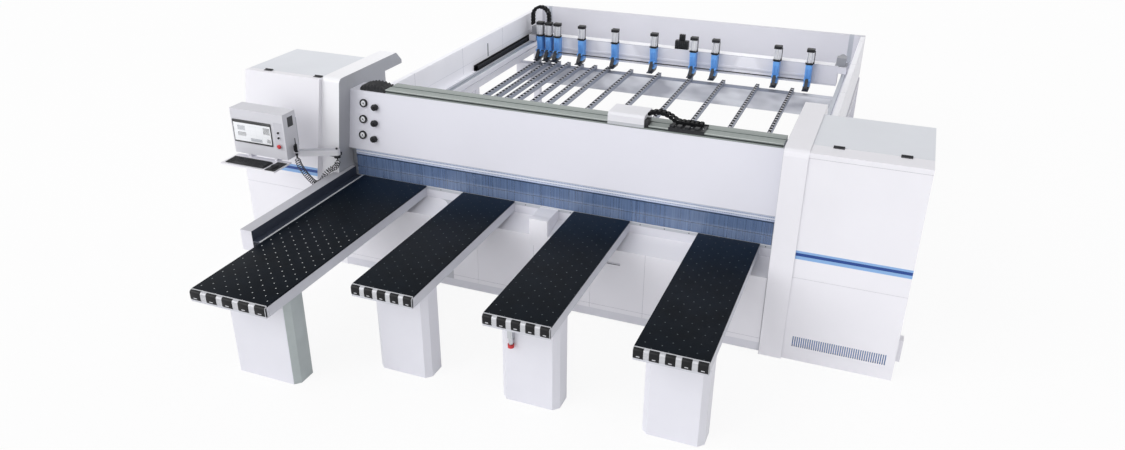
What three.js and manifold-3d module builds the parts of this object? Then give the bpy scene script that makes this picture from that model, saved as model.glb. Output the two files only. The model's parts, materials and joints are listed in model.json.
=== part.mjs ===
// Beam saw for panels: a 4.4 m pressure beam over a slotted table, a saw carriage that runs
// underneath, four air tables in front, and a gripper gantry over roller rails behind.
// Millimetres, +Z up, +X along the cut, +Y from the operator to the grippers.
// The origin is on the floor, below the middle of the cut line.
import * as THREE from 'three';
import * as BufferGeometryUtils from 'three/addons/utils/BufferGeometryUtils.js';
import Module from 'manifold-3d';

const wasm = await Module();
wasm.setup();

// Shared clearances
const seat = 0.3;
const overrun = 6;

// Work plane and the clear width between the columns
const tableHeight = 960;
const columnSpan = 4396;

// Columns
const columnWidth = 205;
const columnRise = 148;
const columnWall = 14;
const columnBack = 615;
const columnHoodReach = 350;
const columnHoodHeight = 140;
const columnHoodChamfer = 100;
const columnTopRadius = 60;
const columnArcCount = 4;
const rightColumnFront = 440;
const leftColumnFront = 395;
const leanRise = 30;
const leftColumnLean = 163;
const leftCabinetLean = 215;

// Cabinets and their lids
const cabinetDrop = 10;
const cabinetWall = 15;
const cabinetTopPlate = 20;
const cabinetBack = 590;
const leftCabinetWidth = 900;
const leftCabinetFront = 480;
const rightCabinetWidth = 945;
const rightCabinetFront = 427;
const lidThickness = 20;
const lidGap = 3;
const rightLidHingeLine = 217;
const leftLidHingeLine = 189;
const lidOverhang = 8;
const serviceRim = 110;
const kickHeight = 120;
const kickInset = 9;
const louvreCount = 43;
const louvreWidth = 9;
const louvreHeight = 104;
const louvreBottom = 148;
const louvreMargin = 80;
const inletWidth = 40;
const inletDepth = 90;
const inletHeight = 215;
const inletBottom = 150;
const inletFront = 330;
const hingeLength = 90;
const hingeLeaf = 36;
const hingeLeafThickness = 5;
const hingeKnuckleRadius = 7.5;
const hingeEdgeInset = 165;
const leftOuterHingeInset = 197;
const leftInnerHingeInset = 10;
const hingeSides = 10;

// Machine base, its covers and feet
const baseFront = 427;
const baseBack = 330;
const baseShoulderDrop = 180;
const baseRise = 62;
const baseClearance = 20;
const baseEndGap = 4;
const coverThickness = 10;
const coverSeam = 4;
const plinthHeight = 112;
const handleWidth = 128;
const handleHeight = 24;
const handleDrop = 144;
const handleOffset = 122;
const junctionLeft = 65;
const junctionWidth = 186;
const junctionDepth = 190;
const junctionDrop = 14;
const tunnelHalf = 120;
const tunnelDepth = 710;
const tunnelWall = 25;
const tunnelEnd = 20;
const footRadius = 45;
const footDisc = 9;
const footStemRadius = 14;
const footSides = 8;
const footColumnCount = 5;
const footEdge = 190;
const footFrontRow = -300;
const footBackRow = 260;

// Saw table above the tunnel
const sawTableThickness = 35;
const slotHalf = 5;

// Saw carriage, lift and blades
const railWidth = 26;
const railHeight = 20;
const railOffset = 78;
const carriageLength = 690;
const carriageHalf = 112;
const carriagePlate = 60;
const homeGap = 14;
const liftPostWidth = 40;
const liftPostDepth = 30;
const liftPostHeight = 480;
const liftPostOffset = 262;
const liftDrop = 520;
const liftPlate = 32;
const liftStart = 34;
const liftHubRadius = 50;
const scoringHubRadius = 28;
const motorRadius = 70;
const motorEnd = 112;
const motorSides = 16;
const mainBladeRadius = 190;
const mainBladeThickness = 4.4;
const mainBladeDrop = 232;
const scoringBladeRadius = 70;
const scoringBladeThickness = 4.4;
const scoringBladeDrop = 185;
const scoringOffset = -266;
const toothDepth = 7;
const mainToothCount = 36;
const scoringToothCount = 18;
const spindleRadius = 15;
const spindleGap = 1;
const spindleStart = 3;
const bladeSpindleSides = 12;

// Beam over the table
const coverRise = 295;
const coverHeight = 592;
const coverLowFront = 167;
const coverHighFront = 48;
const coverLowReturn = 45;
const beamSheet = 10;
const girderRise = 37;
const girderFront = -30;
const girderBack = 200;
const girderWall = 16;
const railStartInset = 408;
const railEndInset = 48;
const beamRailFront = -40;
const beamRailBack = 198;
const beamRailHeight = 38;
const beamRailGroove = 14;
const beamRailGrooveDepth = 9;
const bellowsLength = 300;
const bellowsInset = 12;
const bellowsPeak = 78;
const bellowsLow = 34;
const bellowsFoldCount = 10;
const bellowsBack = 150;

// Pressure beam, its guide tongues and the strip curtain
const pressHalf = 116;
const pressOpening = 100;
const pressTopGap = 9;
const pressGrooveHalf = 24;
const pressGrooveDepth = 108;
const pressRest = 2;
const pressEndGap = 4;
const tongueHalf = 60;
const tongueInset = 22;
const tongueReach = 58;
const bandFront = 152;
const bandThickness = 11;
const bandHeight = 62;
const bandInset = 70;
const stripWidth = 48;
const stripGap = 2.5;
const stripThickness = 2;
const stripClearance = 3;
const stripHeader = 8;

// Gauges and regulator knobs on the cover, places along the cover's slope
const gaugeRadius = 42;
const gaugeDepth = 22;
const gaugeFromEnd = 165;
const gaugeTopDistance = 124;
const gaugePitch = 162;
const gaugeSides = 18;
const gaugeStemRadius = 8;
const manifoldWidth = 26;
const manifoldDepth = 14;
const knobRadius = 34;
const knobLength = 46;
const knobNeckRadius = 15;
const knobNeckLength = 22;
const knobFromEnd = 302;
const knobDrop = 27;
const knobSides = 14;

// Side aligner on the beam rail
const alignerLeft = 560;
const alignerLength = 345;
const alignerFront = -52;
const alignerBack = 208;
const alignerHeight = 84;
const alignerSkirt = 26;
const alignerChamfer = 22;
const alignerArmWidth = 70;
const alignerArmThickness = 26;
const alignerArmRise = 72;
const alignerArmInset = 120;
const alignerRollerRadius = 30;
const alignerRollerHeight = 58;
const alignerRollerSides = 14;
const chainFront = 60;
const chainWidth = 78;
const chainThickness = 36;
const chainStart = 62;
const chainCrest = 86;
const chainCrestReach = 110;
const chainReach = 290;
const chainRun = 260;
const chainLinkCount = 10;
const trayGap = 225;
const trayDepth = 200;
const traySheet = 8;
const trayLip = 20;

// Gantry tracks and side walls
const wallStandoff = 192;
const wallThickness = 60;
const wallRise = 40;
const wallHeight = 552;
const wallRear = 5600;
const rearPanelThickness = 55;
const trackStartGap = 27;
const trackEndGap = 120;
const trackShelfWidth = 142;
const trackShelfThickness = 20;
const trackRise = 170;
const trackRailWidth = 34;
const trackRailHeight = 30;
const trackRailInset = 34;
const troughWidth = 64;
const troughHeight = 76;
const troughWall = 5;
const troughShare = 0.55;
const troughInset = 4;

// Rear frame under the rails
const postSize = 96;
const postStartGap = 635;
const postEndGap = 220;
const middlePostShare = 0.46;
const postFootSize = 150;
const postFootHeight = 14;
const sillHeight = 90;
const rearCrossSetback = 160;
const rearCrossDepth = 140;
const rearCrossHeight = 262;
const middleCrossShare = 0.3929;
const middleCrossDepth = 110;
const middleCrossHeight = 130;

// Roller rails
const channelWidth = 44;
const channelWall = 5;
const channelHeight = 55;
const channelFrontGap = 2;
const channelSetback = 110;
const rollerRadius = 17;
const rollerRise = 2;
const rollerPitch = 870;
const rollerSides = 6;
const railShares = [
  -0.4777, -0.4413, -0.4061, -0.3703, -0.3228, -0.2753, -0.2282, -0.149, -0.0535,
  0.053, 0.1583, 0.2668, 0.3749,
];

// Gantry, its grippers and drives
const gantrySetback = 770;
const gantryDepth = 150;
const gantryRise = 52;
const gantryHeight = 278;
const gantryGap = 194;
const carriageReach = 112;
const carriageDepth = 250;
const carriageRise = 2;
const gripperShares = [-0.4795, -0.4486, -0.4177, -0.3303, -0.2134, -0.0805, 0.0516, 0.1212, 0.3162, 0.4149];
const gripperWidth = 84;
const gripperAxis = 78;
const cylinderRadius = 44;
const cylinderSides = 10;
const gripperCapSize = 104;
const gripperCapHeight = 40;
const gripperHeadHeight = 208;
const gripperBandHeight = 24;
const gripperBodyRise = 8;
const gripperShoulderRise = 18;
const gripperToeRise = 31;
const gripperToeReach = 104;
const fingerReach = 262;
const fingerRise = 4;
const fingerThickness = 13;
const jawPivotRise = 115;
const jawPivotReach = 154;
const jawWidth = 40;
const jawTipReach = 256;
const jawTipRise = 15;
const jawThickness = 30;
const jawShaftRadius = 8;
const shaftSides = 8;
const cheekRadius = 16;
const fingerMouth = 190;
const mountRailDepth = 12;
const mountRailRise = 88;
const mountRailHeight = 34;
const driveWidth = 120;
const driveHeight = 110;
const driveInset = 30;
const driveMotorRadius = 44;
const driveMotorLength = 150;
const driveSides = 14;
const valveBlockLeft = -70;
const valveBlockWidth = 190;
const valveBlockHeight = 120;
const valveBlockDepth = 84;
const valvePlugWidth = 84;
const valvePlugHeight = 86;
const archRadius = 150;
const archThickness = 44;
const archWidth = 84;
const archSegmentCount = 12;
const archInset = 48;
const archRise = 276;

// Air tables: a wide one beside the fence and three more, placed by their middles
const fenceTableInset = 138;
const fenceTableWidth = 736;
const fenceTableFront = 2709;
const fenceTableLegWidth = 650;
const fenceTableLegSetback = 306;
const tableShares = [-0.1422, 0.1278, 0.4049];
const tableWidth = 566;
const tableFront = 2153;
const tableLegWidth = 508;
const tableLegSetback = 252;
const topThickness = 15;
const frameHeight = 92;
const frameRail = 34;
const noseBlockCount = 5;
const noseBlockShare = 0.12;
const noseBlockReach = 8;
const noseChamfer = 12;
const legDepth = 205;
const legChamfer = 48;
const legWall = 12;
const legTabWidth = 60;
const legTabReach = 110;
const legTabThickness = 14;
const legTabTable = 1;
const legJoint = 8;

// Squaring fence
const fenceGap = 83;
const fenceWidth = 122;
const fenceFront = 1820;
const fenceBack = 163;
const fenceDrop = 102;
const fenceRise = 97;
const fenceLip = 8;
const fenceRailHeight = 13;
const fenceRailRise = 4;

// Console on its swivel arm
const pivotInset = 33;
const pivotGap = 35;
const pivotRadius = 33;
const pivotPinRadius = 11;
const pivotPinGap = 0.3;
const armRise = 316;
const armHeight = 58;
const armWidth = 66;
const armEndReach = 435;
const armEndForward = 210;
const bracketReach = 130;
const bracketHeight = 30;
const pinRise = 14;
const armSides = 16;
const consoleReach = 847;
const consoleWidth = 616;
const consoleForward = 472;
const consoleDepth = 190;
const consoleGap = 18;
const consoleHeight = 457;
const rearBoxInset = 90;
const rearBoxDepth = 120;
const rearBoxTaper = 60;
const rearBoxDrop = 70;
const rearBoxFoot = 40;
const screenLeftInset = 16;
const screenWidth = 452;
const screenBottomInset = 118;
const screenHeight = 232;
const screenThickness = 7;
const buttonInset = 69;
const buttonTravel = 4;
const buttonRadius = 11;
const buttonReach = 9;
const buttonGuideRadius = 7;
const buttonGuideDepth = 12;
const buttonFit = 0.3;
const upperButtonRise = 273;
const lowerButtonRise = 221;
const stopRise = 136;
const stopRadius = 22;
const stopReach = 22;
const stopStemRadius = 11;
const stopTravel = 6;
const buttonSides = 14;
const trayForward = 220;
const trayThickness = 14;
const trayDrop = 50;
const keyboardInset = 22;
const keyboardWidth = 452;
const keyboardDepth = 150;
const keyboardHeight = 22;
const keyboardSetback = 26;
const padGap = 24;
const padThickness = 5;
const padDepth = 215;
const mouseLength = 108;
const mouseWidth = 60;
const mouseHeight = 32;
const mouseSetback = 78;
const padMargin = 6;
const mouseNoseShare = 0.33;
const mouseBackShare = 0.67;
const mouseLowShare = 0.33;
const mouseCrownShare = 0.8;
const bracketShares = [0.25, 0.75];
const trayTuck = 47.5;

// Air gun in its holder beside the console, and its curly hose
const gunOffset = 33;
const gunSetback = 102;
const gunRise = 25;
const gunBodyRadius = 13;
const gunBodyLength = 112;
const gunCollar = 5;
const gunNozzleRadius = 4.5;
const gunNozzleLength = 62;
const gunSides = 12;
const gunLugWidth = 8;
const gunHolderRise = 52;
const gunHolderThickness = 6;
const gunHolderReach = 19;
const leverPinOffset = 15;
const leverPinRise = 103;
const leverLength = 56;
const leverThickness = 4;
const leverWidth = 16;
const leverCheekReach = 1.5;
const leverCheekHeight = 8;
const hoseRadius = 4;
const hoseSides = 5;
const hoseStraight = 10;
const hoseFittingRadius = 8;
const hoseFittingLength = 24;
const hoseBends = [
  [-201, -348, 310],
  [-185, -270, 160],
  [-165, -180, 50],
  [-151, -110, 40],
  [-133, -50, 100],
  [-85, -22, 150],
  [-30, -8, 180],
];
const curlRadius = 25;
const curlStepCount = 8;
const curlCount = 32;

// Air preparation unit under the third table
const valveOffset = 141;
const valveBodyWidth = 44;
const valveBodyHeight = 120;
const valveDrop = 194;
const valvePlateHeight = 150;
const valvePlateThickness = 8;
const valveBowlRadius = 19;
const valveBowlHeight = 62;
const valveCapHeight = 34;
const valveKnobRadius = 27;
const valveKnobDepth = 30;
const valveSides = 14;

// Places that follow from the sizes above
const columnInner = columnSpan / 2;
const columnOuter = columnInner + columnWidth;
const columnHoodBack = columnBack + columnHoodReach;
const leanStart = tableHeight + leanRise;
const coverBottom = tableHeight + coverRise;
const coverTop = coverBottom + coverHeight;
const coverSlope = Math.atan2(coverLowFront - coverHighFront, coverHeight);
const columnHeight = coverTop + columnRise;
const cabinetHeight = columnHeight - cabinetDrop;
const baseShoulder = tableHeight - baseShoulderDrop;
const handleLevel = baseShoulder - handleDrop;
const tunnelFloor = tableHeight - tunnelDepth;
const sawTableFront = -(tunnelHalf + tunnelWall);
const baseTop = tableHeight - sawTableThickness - seat;
const liftLevel = tableHeight - liftDrop;
const mainBladeLevel = tableHeight - mainBladeDrop;
const scoringBladeLevel = tableHeight - scoringBladeDrop;
const beamDeck = coverTop;
const railTop = beamDeck + seat + beamRailHeight;
const railStart = -columnInner + railStartInset;
const railEnd = columnInner - railEndInset;
const girderBottom = coverBottom + girderRise;
const pressBottom = tableHeight + pressOpening;
const pressTop = coverBottom - pressTopGap;
const pressStroke = pressOpening - pressRest;
const tongueBottom = pressBottom + tongueInset;
const tongueTop = pressTop - tongueInset;
const bandStart = -columnInner + bandInset;
const alignerArmBottom = tableHeight + alignerArmRise;

// Rear part
const wallHalf = columnInner + wallStandoff;
const wallBottom = tableHeight + wallRise;
const wallTop = wallBottom + wallHeight;
const trackLevel = wallBottom + trackRise;
const trackStart = columnBack + trackStartGap;
const troughStart = wallRear * troughShare;
const gantryFront = wallRear - gantrySetback;
const channelEnd = gantryFront - channelSetback;
const crossBeamTop = tableHeight - rollerRise - channelHeight - seat;
const rearCrossFront = channelEnd - rearCrossSetback;
const middleCrossFront = wallRear * middleCrossShare;
const firstPostRow = columnBack + postStartGap;
const lastPostRow = wallRear - postEndGap;
const postRows = [firstPostRow, firstPostRow + (lastPostRow - firstPostRow) * middlePostShare, lastPostRow];
const railPlaces = railShares.map((share) => columnSpan * share);
const gripperPlaces = gripperShares.map((share) => columnSpan * share);
const gantryHalf = wallHalf - gantryGap;
const gantryBottom = tableHeight + gantryRise;
const gantryTop = gantryBottom + gantryHeight;
const carriageTop = gantryTop + carriageRise;
const fingerBottom = tableHeight + fingerRise;
const fingerTop = fingerBottom + fingerThickness;
const jawPivotLevel = fingerTop + jawPivotRise;
const jawTipLevel = fingerTop + jawTipRise;
const gripperToeHeight = fingerTop + gripperToeRise;
const gripperShoulder = jawPivotLevel + gripperShoulderRise;
const gripperBodyTop = gantryTop + gripperBodyRise;
const gripperTop = gripperBodyTop + gripperHeadHeight;
const mountRailLow = jawPivotLevel + mountRailRise;
const archCentre = archInset - gantryHalf;
const archLevel = gantryTop + archRise;

// Air tables, each as left edge, width, front edge and its leg
const airTables = [
  {
    left: -columnInner + fenceTableInset,
    width: fenceTableWidth,
    front: fenceTableFront,
    legWidth: fenceTableLegWidth,
    legFront: fenceTableFront - fenceTableLegSetback,
  },
  ...tableShares.map((share) => ({
    left: columnSpan * share - tableWidth / 2,
    width: tableWidth,
    front: tableFront,
    legWidth: tableLegWidth,
    legFront: tableFront - tableLegSetback,
  })),
];
const fenceLeft = airTables[0].left - fenceGap - fenceWidth;
const fenceBottom = tableHeight - fenceDrop;
const fenceTop = tableHeight + fenceRise;
const valveX = airTables[2].left + valveOffset;
const valveBodyTop = tableHeight - valveDrop;

// Console and what rides on its arm
const pivotX = -columnInner + pivotInset;
const pivotY = -(leftColumnFront + pivotGap);
const armLevel = tableHeight + armRise;
const armEndX = pivotX - armEndReach;
const armEndY = pivotY - armEndForward;
const consoleLeft = pivotX - consoleReach;
const consoleFront = consoleForward - pivotY;
const consoleBottom = armLevel + armHeight + consoleGap;
const consoleTop = consoleBottom + consoleHeight;
const buttonX = consoleLeft + consoleWidth - buttonInset;
const upperButtonLevel = consoleBottom + upperButtonRise;
const lowerButtonLevel = consoleBottom + lowerButtonRise;
const stopLevel = consoleBottom + stopRise;
const trayFront = consoleFront + trayForward;
const trayLevel = consoleBottom - trayDrop;
const gunPlaceX = consoleLeft + consoleWidth + gunOffset;
const gunPlaceY = gunSetback - consoleFront;
const gunBottom = consoleBottom + gunRise;
const gunHolderLevel = consoleBottom + gunHolderRise;
const leverPinLevel = gunBottom + leverPinRise;

// Paints and metals
function finish(color, roughness, metalness = 0) {
  return new THREE.MeshStandardMaterial({ color, roughness, metalness });
}
const white = finish('#eceef2', 0.45);
const pale = finish('#d9dce1', 0.5);
const grey = finish('#9aa0a6', 0.5, 0.2);
const steel = finish('#b9bdc2', 0.35, 0.9);
const bladeSteel = finish('#c9ccd0', 0.25, 1);
const anodised = finish('#8d968e', 0.4, 0.7);
const black = finish('#15171a', 0.6);
const rubber = finish('#1d1e20', 0.85);
const blue = finish('#2f6fc4', 0.4);
const clearBlue = finish('#5b8fc0', 0.15);
const red = finish('#c3202a', 0.4);

// Closed geometry to a solid that can be cut and joined
function solid(geometry) {
  const bare = geometry.index ? geometry.toNonIndexed() : geometry.clone();
  bare.deleteAttribute('normal');
  bare.deleteAttribute('uv');
  const merged = BufferGeometryUtils.mergeVertices(bare);
  const vertProperties = new Float32Array(merged.attributes.position.array);
  const triVerts = new Uint32Array(merged.index.array);
  return new wasm.Manifold(new wasm.Mesh({ numProp: 3, vertProperties, triVerts }));
}

const join = (bodies) => bodies.reduce((whole, body) => whole.add(body));
const cut = (body, tools) => tools.reduce((rest, tool) => rest.subtract(tool), body);

// Block between low and high on each axis
function block([x0, x1], [y0, y1], [z0, z1]) {
  const geometry = new THREE.BoxGeometry(x1 - x0, y1 - y0, z1 - z0);
  return solid(geometry.translate((x0 + x1) / 2, (y0 + y1) / 2, (z0 + z1) / 2));
}

// Outline carried along an axis. Points are (y, z) for x, (z, x) for y and (x, y) for z
const axisTurn = {
  x: new THREE.Matrix4().set(0, 0, 1, 0, 1, 0, 0, 0, 0, 1, 0, 0, 0, 0, 0, 1),
  y: new THREE.Matrix4().set(0, 1, 0, 0, 0, 0, 1, 0, 1, 0, 0, 0, 0, 0, 0, 1),
  z: new THREE.Matrix4(),
};
function prism(axis, outline, low, high) {
  const shape = new THREE.Shape(outline.map(([a, b]) => new THREE.Vector2(a, b)));
  const geometry = new THREE.ExtrudeGeometry(shape, { depth: high - low, bevelEnabled: false, steps: 1 });
  return solid(geometry.translate(0, 0, low).applyMatrix4(axisTurn[axis]));
}

// Regular outline of a round bar about a centre
function disc(radius, [a, b], sides) {
  const angle = (step) => (2 * Math.PI * (step + 0.5)) / sides;
  const point = (turn) => [a + radius * Math.cos(turn), b + radius * Math.sin(turn)];
  return Array.from({ length: sides }, (_, i) => point(angle(i)));
}
const rod = (axis, radius, centre, low, high, sides) => prism(axis, disc(radius, centre, sides), low, high);

// Quarter arc of points about a centre, from one angle to another
function arc([a, b], radius, from, to, count) {
  return Array.from({ length: count + 1 }, (_, i) => {
    const angle = from + ((to - from) * i) / count;
    return [a + radius * Math.cos(angle), b + radius * Math.sin(angle)];
  });
}

const machine = new THREE.Group();

// Adds one named piece to its assembly
function piece(assembly, name, body, material) {
  const { numProp, vertProperties, triVerts } = body.getMesh();
  const geometry = new THREE.BufferGeometry();
  geometry.setAttribute('position', new THREE.BufferAttribute(new Float32Array(vertProperties), numProp));
  geometry.setIndex(new THREE.BufferAttribute(new Uint32Array(triVerts), 1));
  geometry.computeVertexNormals();
  const mesh = new THREE.Mesh(geometry, material);
  mesh.name = name;
  assembly.add(mesh);
  return mesh;
}

// Machine base: a welded body with the saw tunnel along it
const baseHalf = columnInner - baseEndGap;
const frameFront = -(baseFront - coverThickness - seat);
const frameShoulder = baseShoulder - coverThickness - seat;
const baseOutline = [
  [frameFront, baseClearance],
  [frameFront, frameShoulder],
  [sawTableFront, frameShoulder + baseRise],
  [sawTableFront, baseTop],
  [baseBack, baseTop],
  [baseBack, baseClearance],
];
const tunnelHalfLength = baseHalf - tunnelEnd;
const carriageHome = -(tunnelHalfLength - carriageLength / 2 - homeGap);
const sawRailTop = tunnelFloor + railHeight;
const sawRail = (side) => block([-tunnelHalfLength - overrun, tunnelHalfLength + overrun],
  [side * railOffset - railWidth / 2, side * railOffset + railWidth / 2],
  [tunnelFloor - overrun, sawRailTop]);
function levellingFeet() {
  const span = 2 * (baseHalf - footEdge);
  const feet = [];
  for (const row of [footFrontRow, 0, footBackRow]) {
    for (let i = 0; i < footColumnCount; i += 1) {
      const place = [-span / 2 + (span * i) / (footColumnCount - 1), row];
      feet.push(rod('z', footRadius, place, 0, footDisc, footSides));
      feet.push(rod('z', footStemRadius, place, 0, baseClearance + overrun, footSides));
    }
  }
  return feet;
}
piece(machine, 'base_frame', join([
  cut(prism('x', baseOutline, -baseHalf, baseHalf), [
    block([-tunnelHalfLength, tunnelHalfLength], [-tunnelHalf, tunnelHalf], [tunnelFloor, tableHeight]),
  ]),
  sawRail(-1),
  sawRail(1),
  ...levellingFeet(),
]), pale);

// Front cover, one bent sheet with pressed seams under the middle of the tables
function frontCover() {
  const back = frameFront - seat;
  const top = sawTableFront - seat;
  const outline = [
    [back, plinthHeight],
    [-baseFront, plinthHeight],
    [-baseFront, baseShoulder],
    [top, baseShoulder + baseRise],
    [top, baseShoulder + baseRise - coverThickness],
    [back, baseShoulder - coverThickness],
  ];
  const seams = airTables.slice(1).map(({ left, width }) => {
    const middle = left + width / 2;
    return block([middle - coverSeam / 2, middle + coverSeam / 2],
      [-baseFront - overrun, -baseFront + coverSeam],
      [plinthHeight - overrun, baseShoulder - coverThickness]);
  });
  const handleStart = airTables[2].left + airTables[2].width - handleOffset;
  const lowEdge = baseShoulder - coverThickness / 2;
  const slope = (place) => lowEdge + (baseRise * (place + baseFront)) / (top + baseFront);
  const junctionFront = top - junctionDepth;
  const junction = prism('x', [
    [junctionFront, slope(junctionFront)],
    [junctionFront, tableHeight - junctionDrop],
    [top, tableHeight - junctionDrop],
    [top, slope(top)],
  ], -junctionLeft, junctionWidth - junctionLeft);
  return cut(prism('x', outline, -baseHalf, baseHalf).add(junction), [
    ...seams,
    block([handleStart, handleStart + handleWidth], [-baseFront - overrun, back + overrun],
      [handleLevel - handleHeight / 2, handleLevel + handleHeight / 2]),
  ]);
}
piece(machine, 'base_front_cover', frontCover(), white);

// Saw table: a machined plate with the cutting slot along it
piece(machine, 'saw_table', cut(
  block([-baseHalf, baseHalf], [sawTableFront, baseBack], [tableHeight - sawTableThickness, tableHeight]),
  [block([-tunnelHalfLength, tunnelHalfLength], [-slotHalf, slotHalf], [0, tableHeight + overrun])],
), steel);

// Columns: sheet covers over the beam guides, slotted for the tongues of the pressure beam
function columnOutline(front, lean, inset) {
  const topFront = -front + lean + inset;
  const top = columnHeight - inset;
  const radius = columnTopRadius - inset;
  const hoodBack = columnHoodBack - inset;
  return [
    [-front + inset, inset ? -overrun : 0],
    [-front + inset, leanStart],
    ...arc([topFront + radius, top - radius], radius, Math.PI, Math.PI / 2, columnArcCount),
    [hoodBack - columnHoodChamfer, top],
    [hoodBack, top - columnHoodChamfer],
    [hoodBack, columnHeight - columnHoodHeight + inset],
    [columnBack - inset, columnHeight - columnHoodHeight + inset],
    [columnBack - inset, inset ? -overrun : 0],
  ];
}
function column(side, front, lean) {
  const inner = Math.min(side * columnInner, side * columnOuter);
  const outer = Math.max(side * columnInner, side * columnOuter);
  const slotEdge = side * (columnInner + columnWall + overrun);
  const slot = [side * (columnInner - overrun), slotEdge].sort((a, b) => a - b);
  return cut(prism('x', columnOutline(front, lean, 0), inner, outer), [
    prism('x', columnOutline(front, lean, columnWall), inner + columnWall, outer - columnWall),
    block(slot, [-tongueHalf - seat, tongueHalf + seat],
      [tongueBottom - pressStroke - overrun, tongueTop + overrun]),
  ]);
}
piece(machine, 'left_column', column(-1, leftColumnFront, leftColumnLean), white);
piece(machine, 'right_column', column(1, rightColumnFront, 0), white);

// Cabinets: sheet housings, open below, with a service opening under the lid and its hinges in front
function lidHinge(start, hingeLine) {
  return join([
    block([start, start + hingeLength], [-hingeLine - hingeLeaf, -hingeLine],
      [cabinetHeight - overrun / 2, cabinetHeight + hingeLeafThickness]),
    rod('x', hingeKnuckleRadius, [-hingeLine, cabinetHeight + hingeKnuckleRadius + seat],
      start, start + hingeLength, hingeSides),
  ]);
}
function cabinetOutline(front, lean, hingeLine) {
  const top = cabinetHeight;
  const rebate = cabinetHeight - lidThickness - seat;
  return [
    [-front, 0],
    [-front, leanStart],
    [-front + lean, top],
    [-hingeLine, top],
    [-hingeLine, rebate],
    [cabinetBack, rebate],
    [cabinetBack, 0],
  ];
}
function cabinet([left, right], front, lean, hingeLine, hingeInsets) {
  const ceiling = cabinetHeight - lidThickness - seat - cabinetTopPlate;
  const inside = [
    [-front + cabinetWall, -overrun],
    [-front + cabinetWall, leanStart],
    [-front + lean + cabinetWall, ceiling],
    [cabinetBack - cabinetWall, ceiling],
    [cabinetBack - cabinetWall, -overrun],
  ];
  const hinges = [left + hingeInsets[0], right - hingeInsets[1] - hingeLength];
  const shell = cut(prism('x', cabinetOutline(front, lean, hingeLine), left, right), [
    prism('x', inside, left + cabinetWall, right - cabinetWall),
    block([left + serviceRim, right - serviceRim], [-hingeLine + serviceRim, cabinetBack - serviceRim],
      [ceiling - overrun, cabinetHeight]),
  ]);
  return join([shell, ...hinges.map((start) => lidHinge(start, hingeLine))]);
}
const cabinetStart = columnOuter + seat;
const leftCabinetSpan = [-cabinetStart - leftCabinetWidth, -cabinetStart];
const rightCabinetSpan = [cabinetStart, cabinetStart + rightCabinetWidth];
piece(machine, 'left_cabinet', cabinet(leftCabinetSpan, leftCabinetFront, leftCabinetLean, leftLidHingeLine,
  [leftOuterHingeInset, leftInnerHingeInset]), white);

function rightCabinet() {
  const louvreStart = rightCabinetSpan[0] + louvreMargin;
  const louvrePitch = (rightCabinetWidth - 2 * louvreMargin) / (louvreCount - 1);
  const louvres = Array.from({ length: louvreCount }, (_, i) => {
    const place = louvreStart + louvrePitch * i;
    return block([place - louvreWidth / 2, place + louvreWidth / 2],
      [-rightCabinetFront - overrun, -rightCabinetFront + cabinetWall + overrun],
      [louvreBottom, louvreBottom + louvreHeight]);
  });
  const kick = block([rightCabinetSpan[0] - overrun, rightCabinetSpan[1] + overrun],
    [-rightCabinetFront - overrun, -rightCabinetFront + kickInset], [-overrun, kickHeight]);
  const inlet = block([rightCabinetSpan[1] - seat, rightCabinetSpan[1] + inletWidth],
    [-inletFront, -inletFront + inletDepth], [inletBottom, inletBottom + inletHeight]);
  const shell = cabinet(rightCabinetSpan, rightCabinetFront, 0, rightLidHingeLine,
    [hingeEdgeInset, hingeEdgeInset]);
  return cut(shell, [...louvres, kick]).add(inlet);
}
piece(machine, 'right_cabinet', rightCabinet(), white);

// Lids, each hinged along its front edge
function lid(name, [left, right], hingeLine) {
  const body = block([left, right], [-hingeLine + lidGap, cabinetBack + lidOverhang],
    [cabinetHeight - lidThickness, cabinetHeight]);
  return piece(machine, name, body, white);
}
lid('left_lid', leftCabinetSpan, leftLidHingeLine);
lid('right_lid', rightCabinetSpan, rightLidHingeLine);

// Beam: a box girder between the columns with a sloping front cover and a rail on its deck
const beamHalf = columnInner - seat;
const girderTop = coverTop - beamSheet - seat;
piece(machine, 'beam_girder', cut(
  block([-beamHalf, beamHalf], [girderFront, girderBack], [girderBottom, girderTop]),
  [block([-beamHalf - overrun, beamHalf + overrun], [girderFront + girderWall, girderBack - girderWall],
    [girderBottom + girderWall, girderTop - girderWall])],
), pale);

const coverSheetDepth = beamSheet / Math.cos(coverSlope);
const coverInside = (level) => coverSheetDepth - coverHighFront - (coverTop - level) * Math.tan(coverSlope);
const flangeLevel = coverTop - beamSheet;
const returnLevel = coverBottom + beamSheet;
const beamCoverOutline = [
  [-coverLowFront, coverBottom],
  [-coverHighFront, coverTop],
  [girderBack, coverTop],
  [girderBack, flangeLevel],
  [coverInside(flangeLevel), flangeLevel],
  [coverInside(returnLevel), returnLevel],
  [-coverLowFront + coverLowReturn, returnLevel],
  [-coverLowFront + coverLowReturn, coverBottom],
];
const gaugeX = -columnInner + gaugeFromEnd;
const coverPoint = (distance, depth) => [
  -coverHighFront - distance * Math.sin(coverSlope) + depth * Math.cos(coverSlope),
  coverTop - distance * Math.cos(coverSlope) - depth * Math.sin(coverSlope),
];
const gaugeDistances = [0, 1, 2].map((i) => gaugeTopDistance + gaugePitch * i);
const stemHoles = gaugeDistances.map((distance) => {
  const radius = gaugeStemRadius + seat;
  return prism('x', [
    coverPoint(distance - radius, -overrun),
    coverPoint(distance + radius, -overrun),
    coverPoint(distance + radius, beamSheet + overrun),
    coverPoint(distance - radius, beamSheet + overrun),
  ], gaugeX - radius, gaugeX + radius);
});
piece(machine, 'beam_cover', cut(prism('x', beamCoverOutline, -beamHalf, beamHalf), stemHoles), white);

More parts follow.
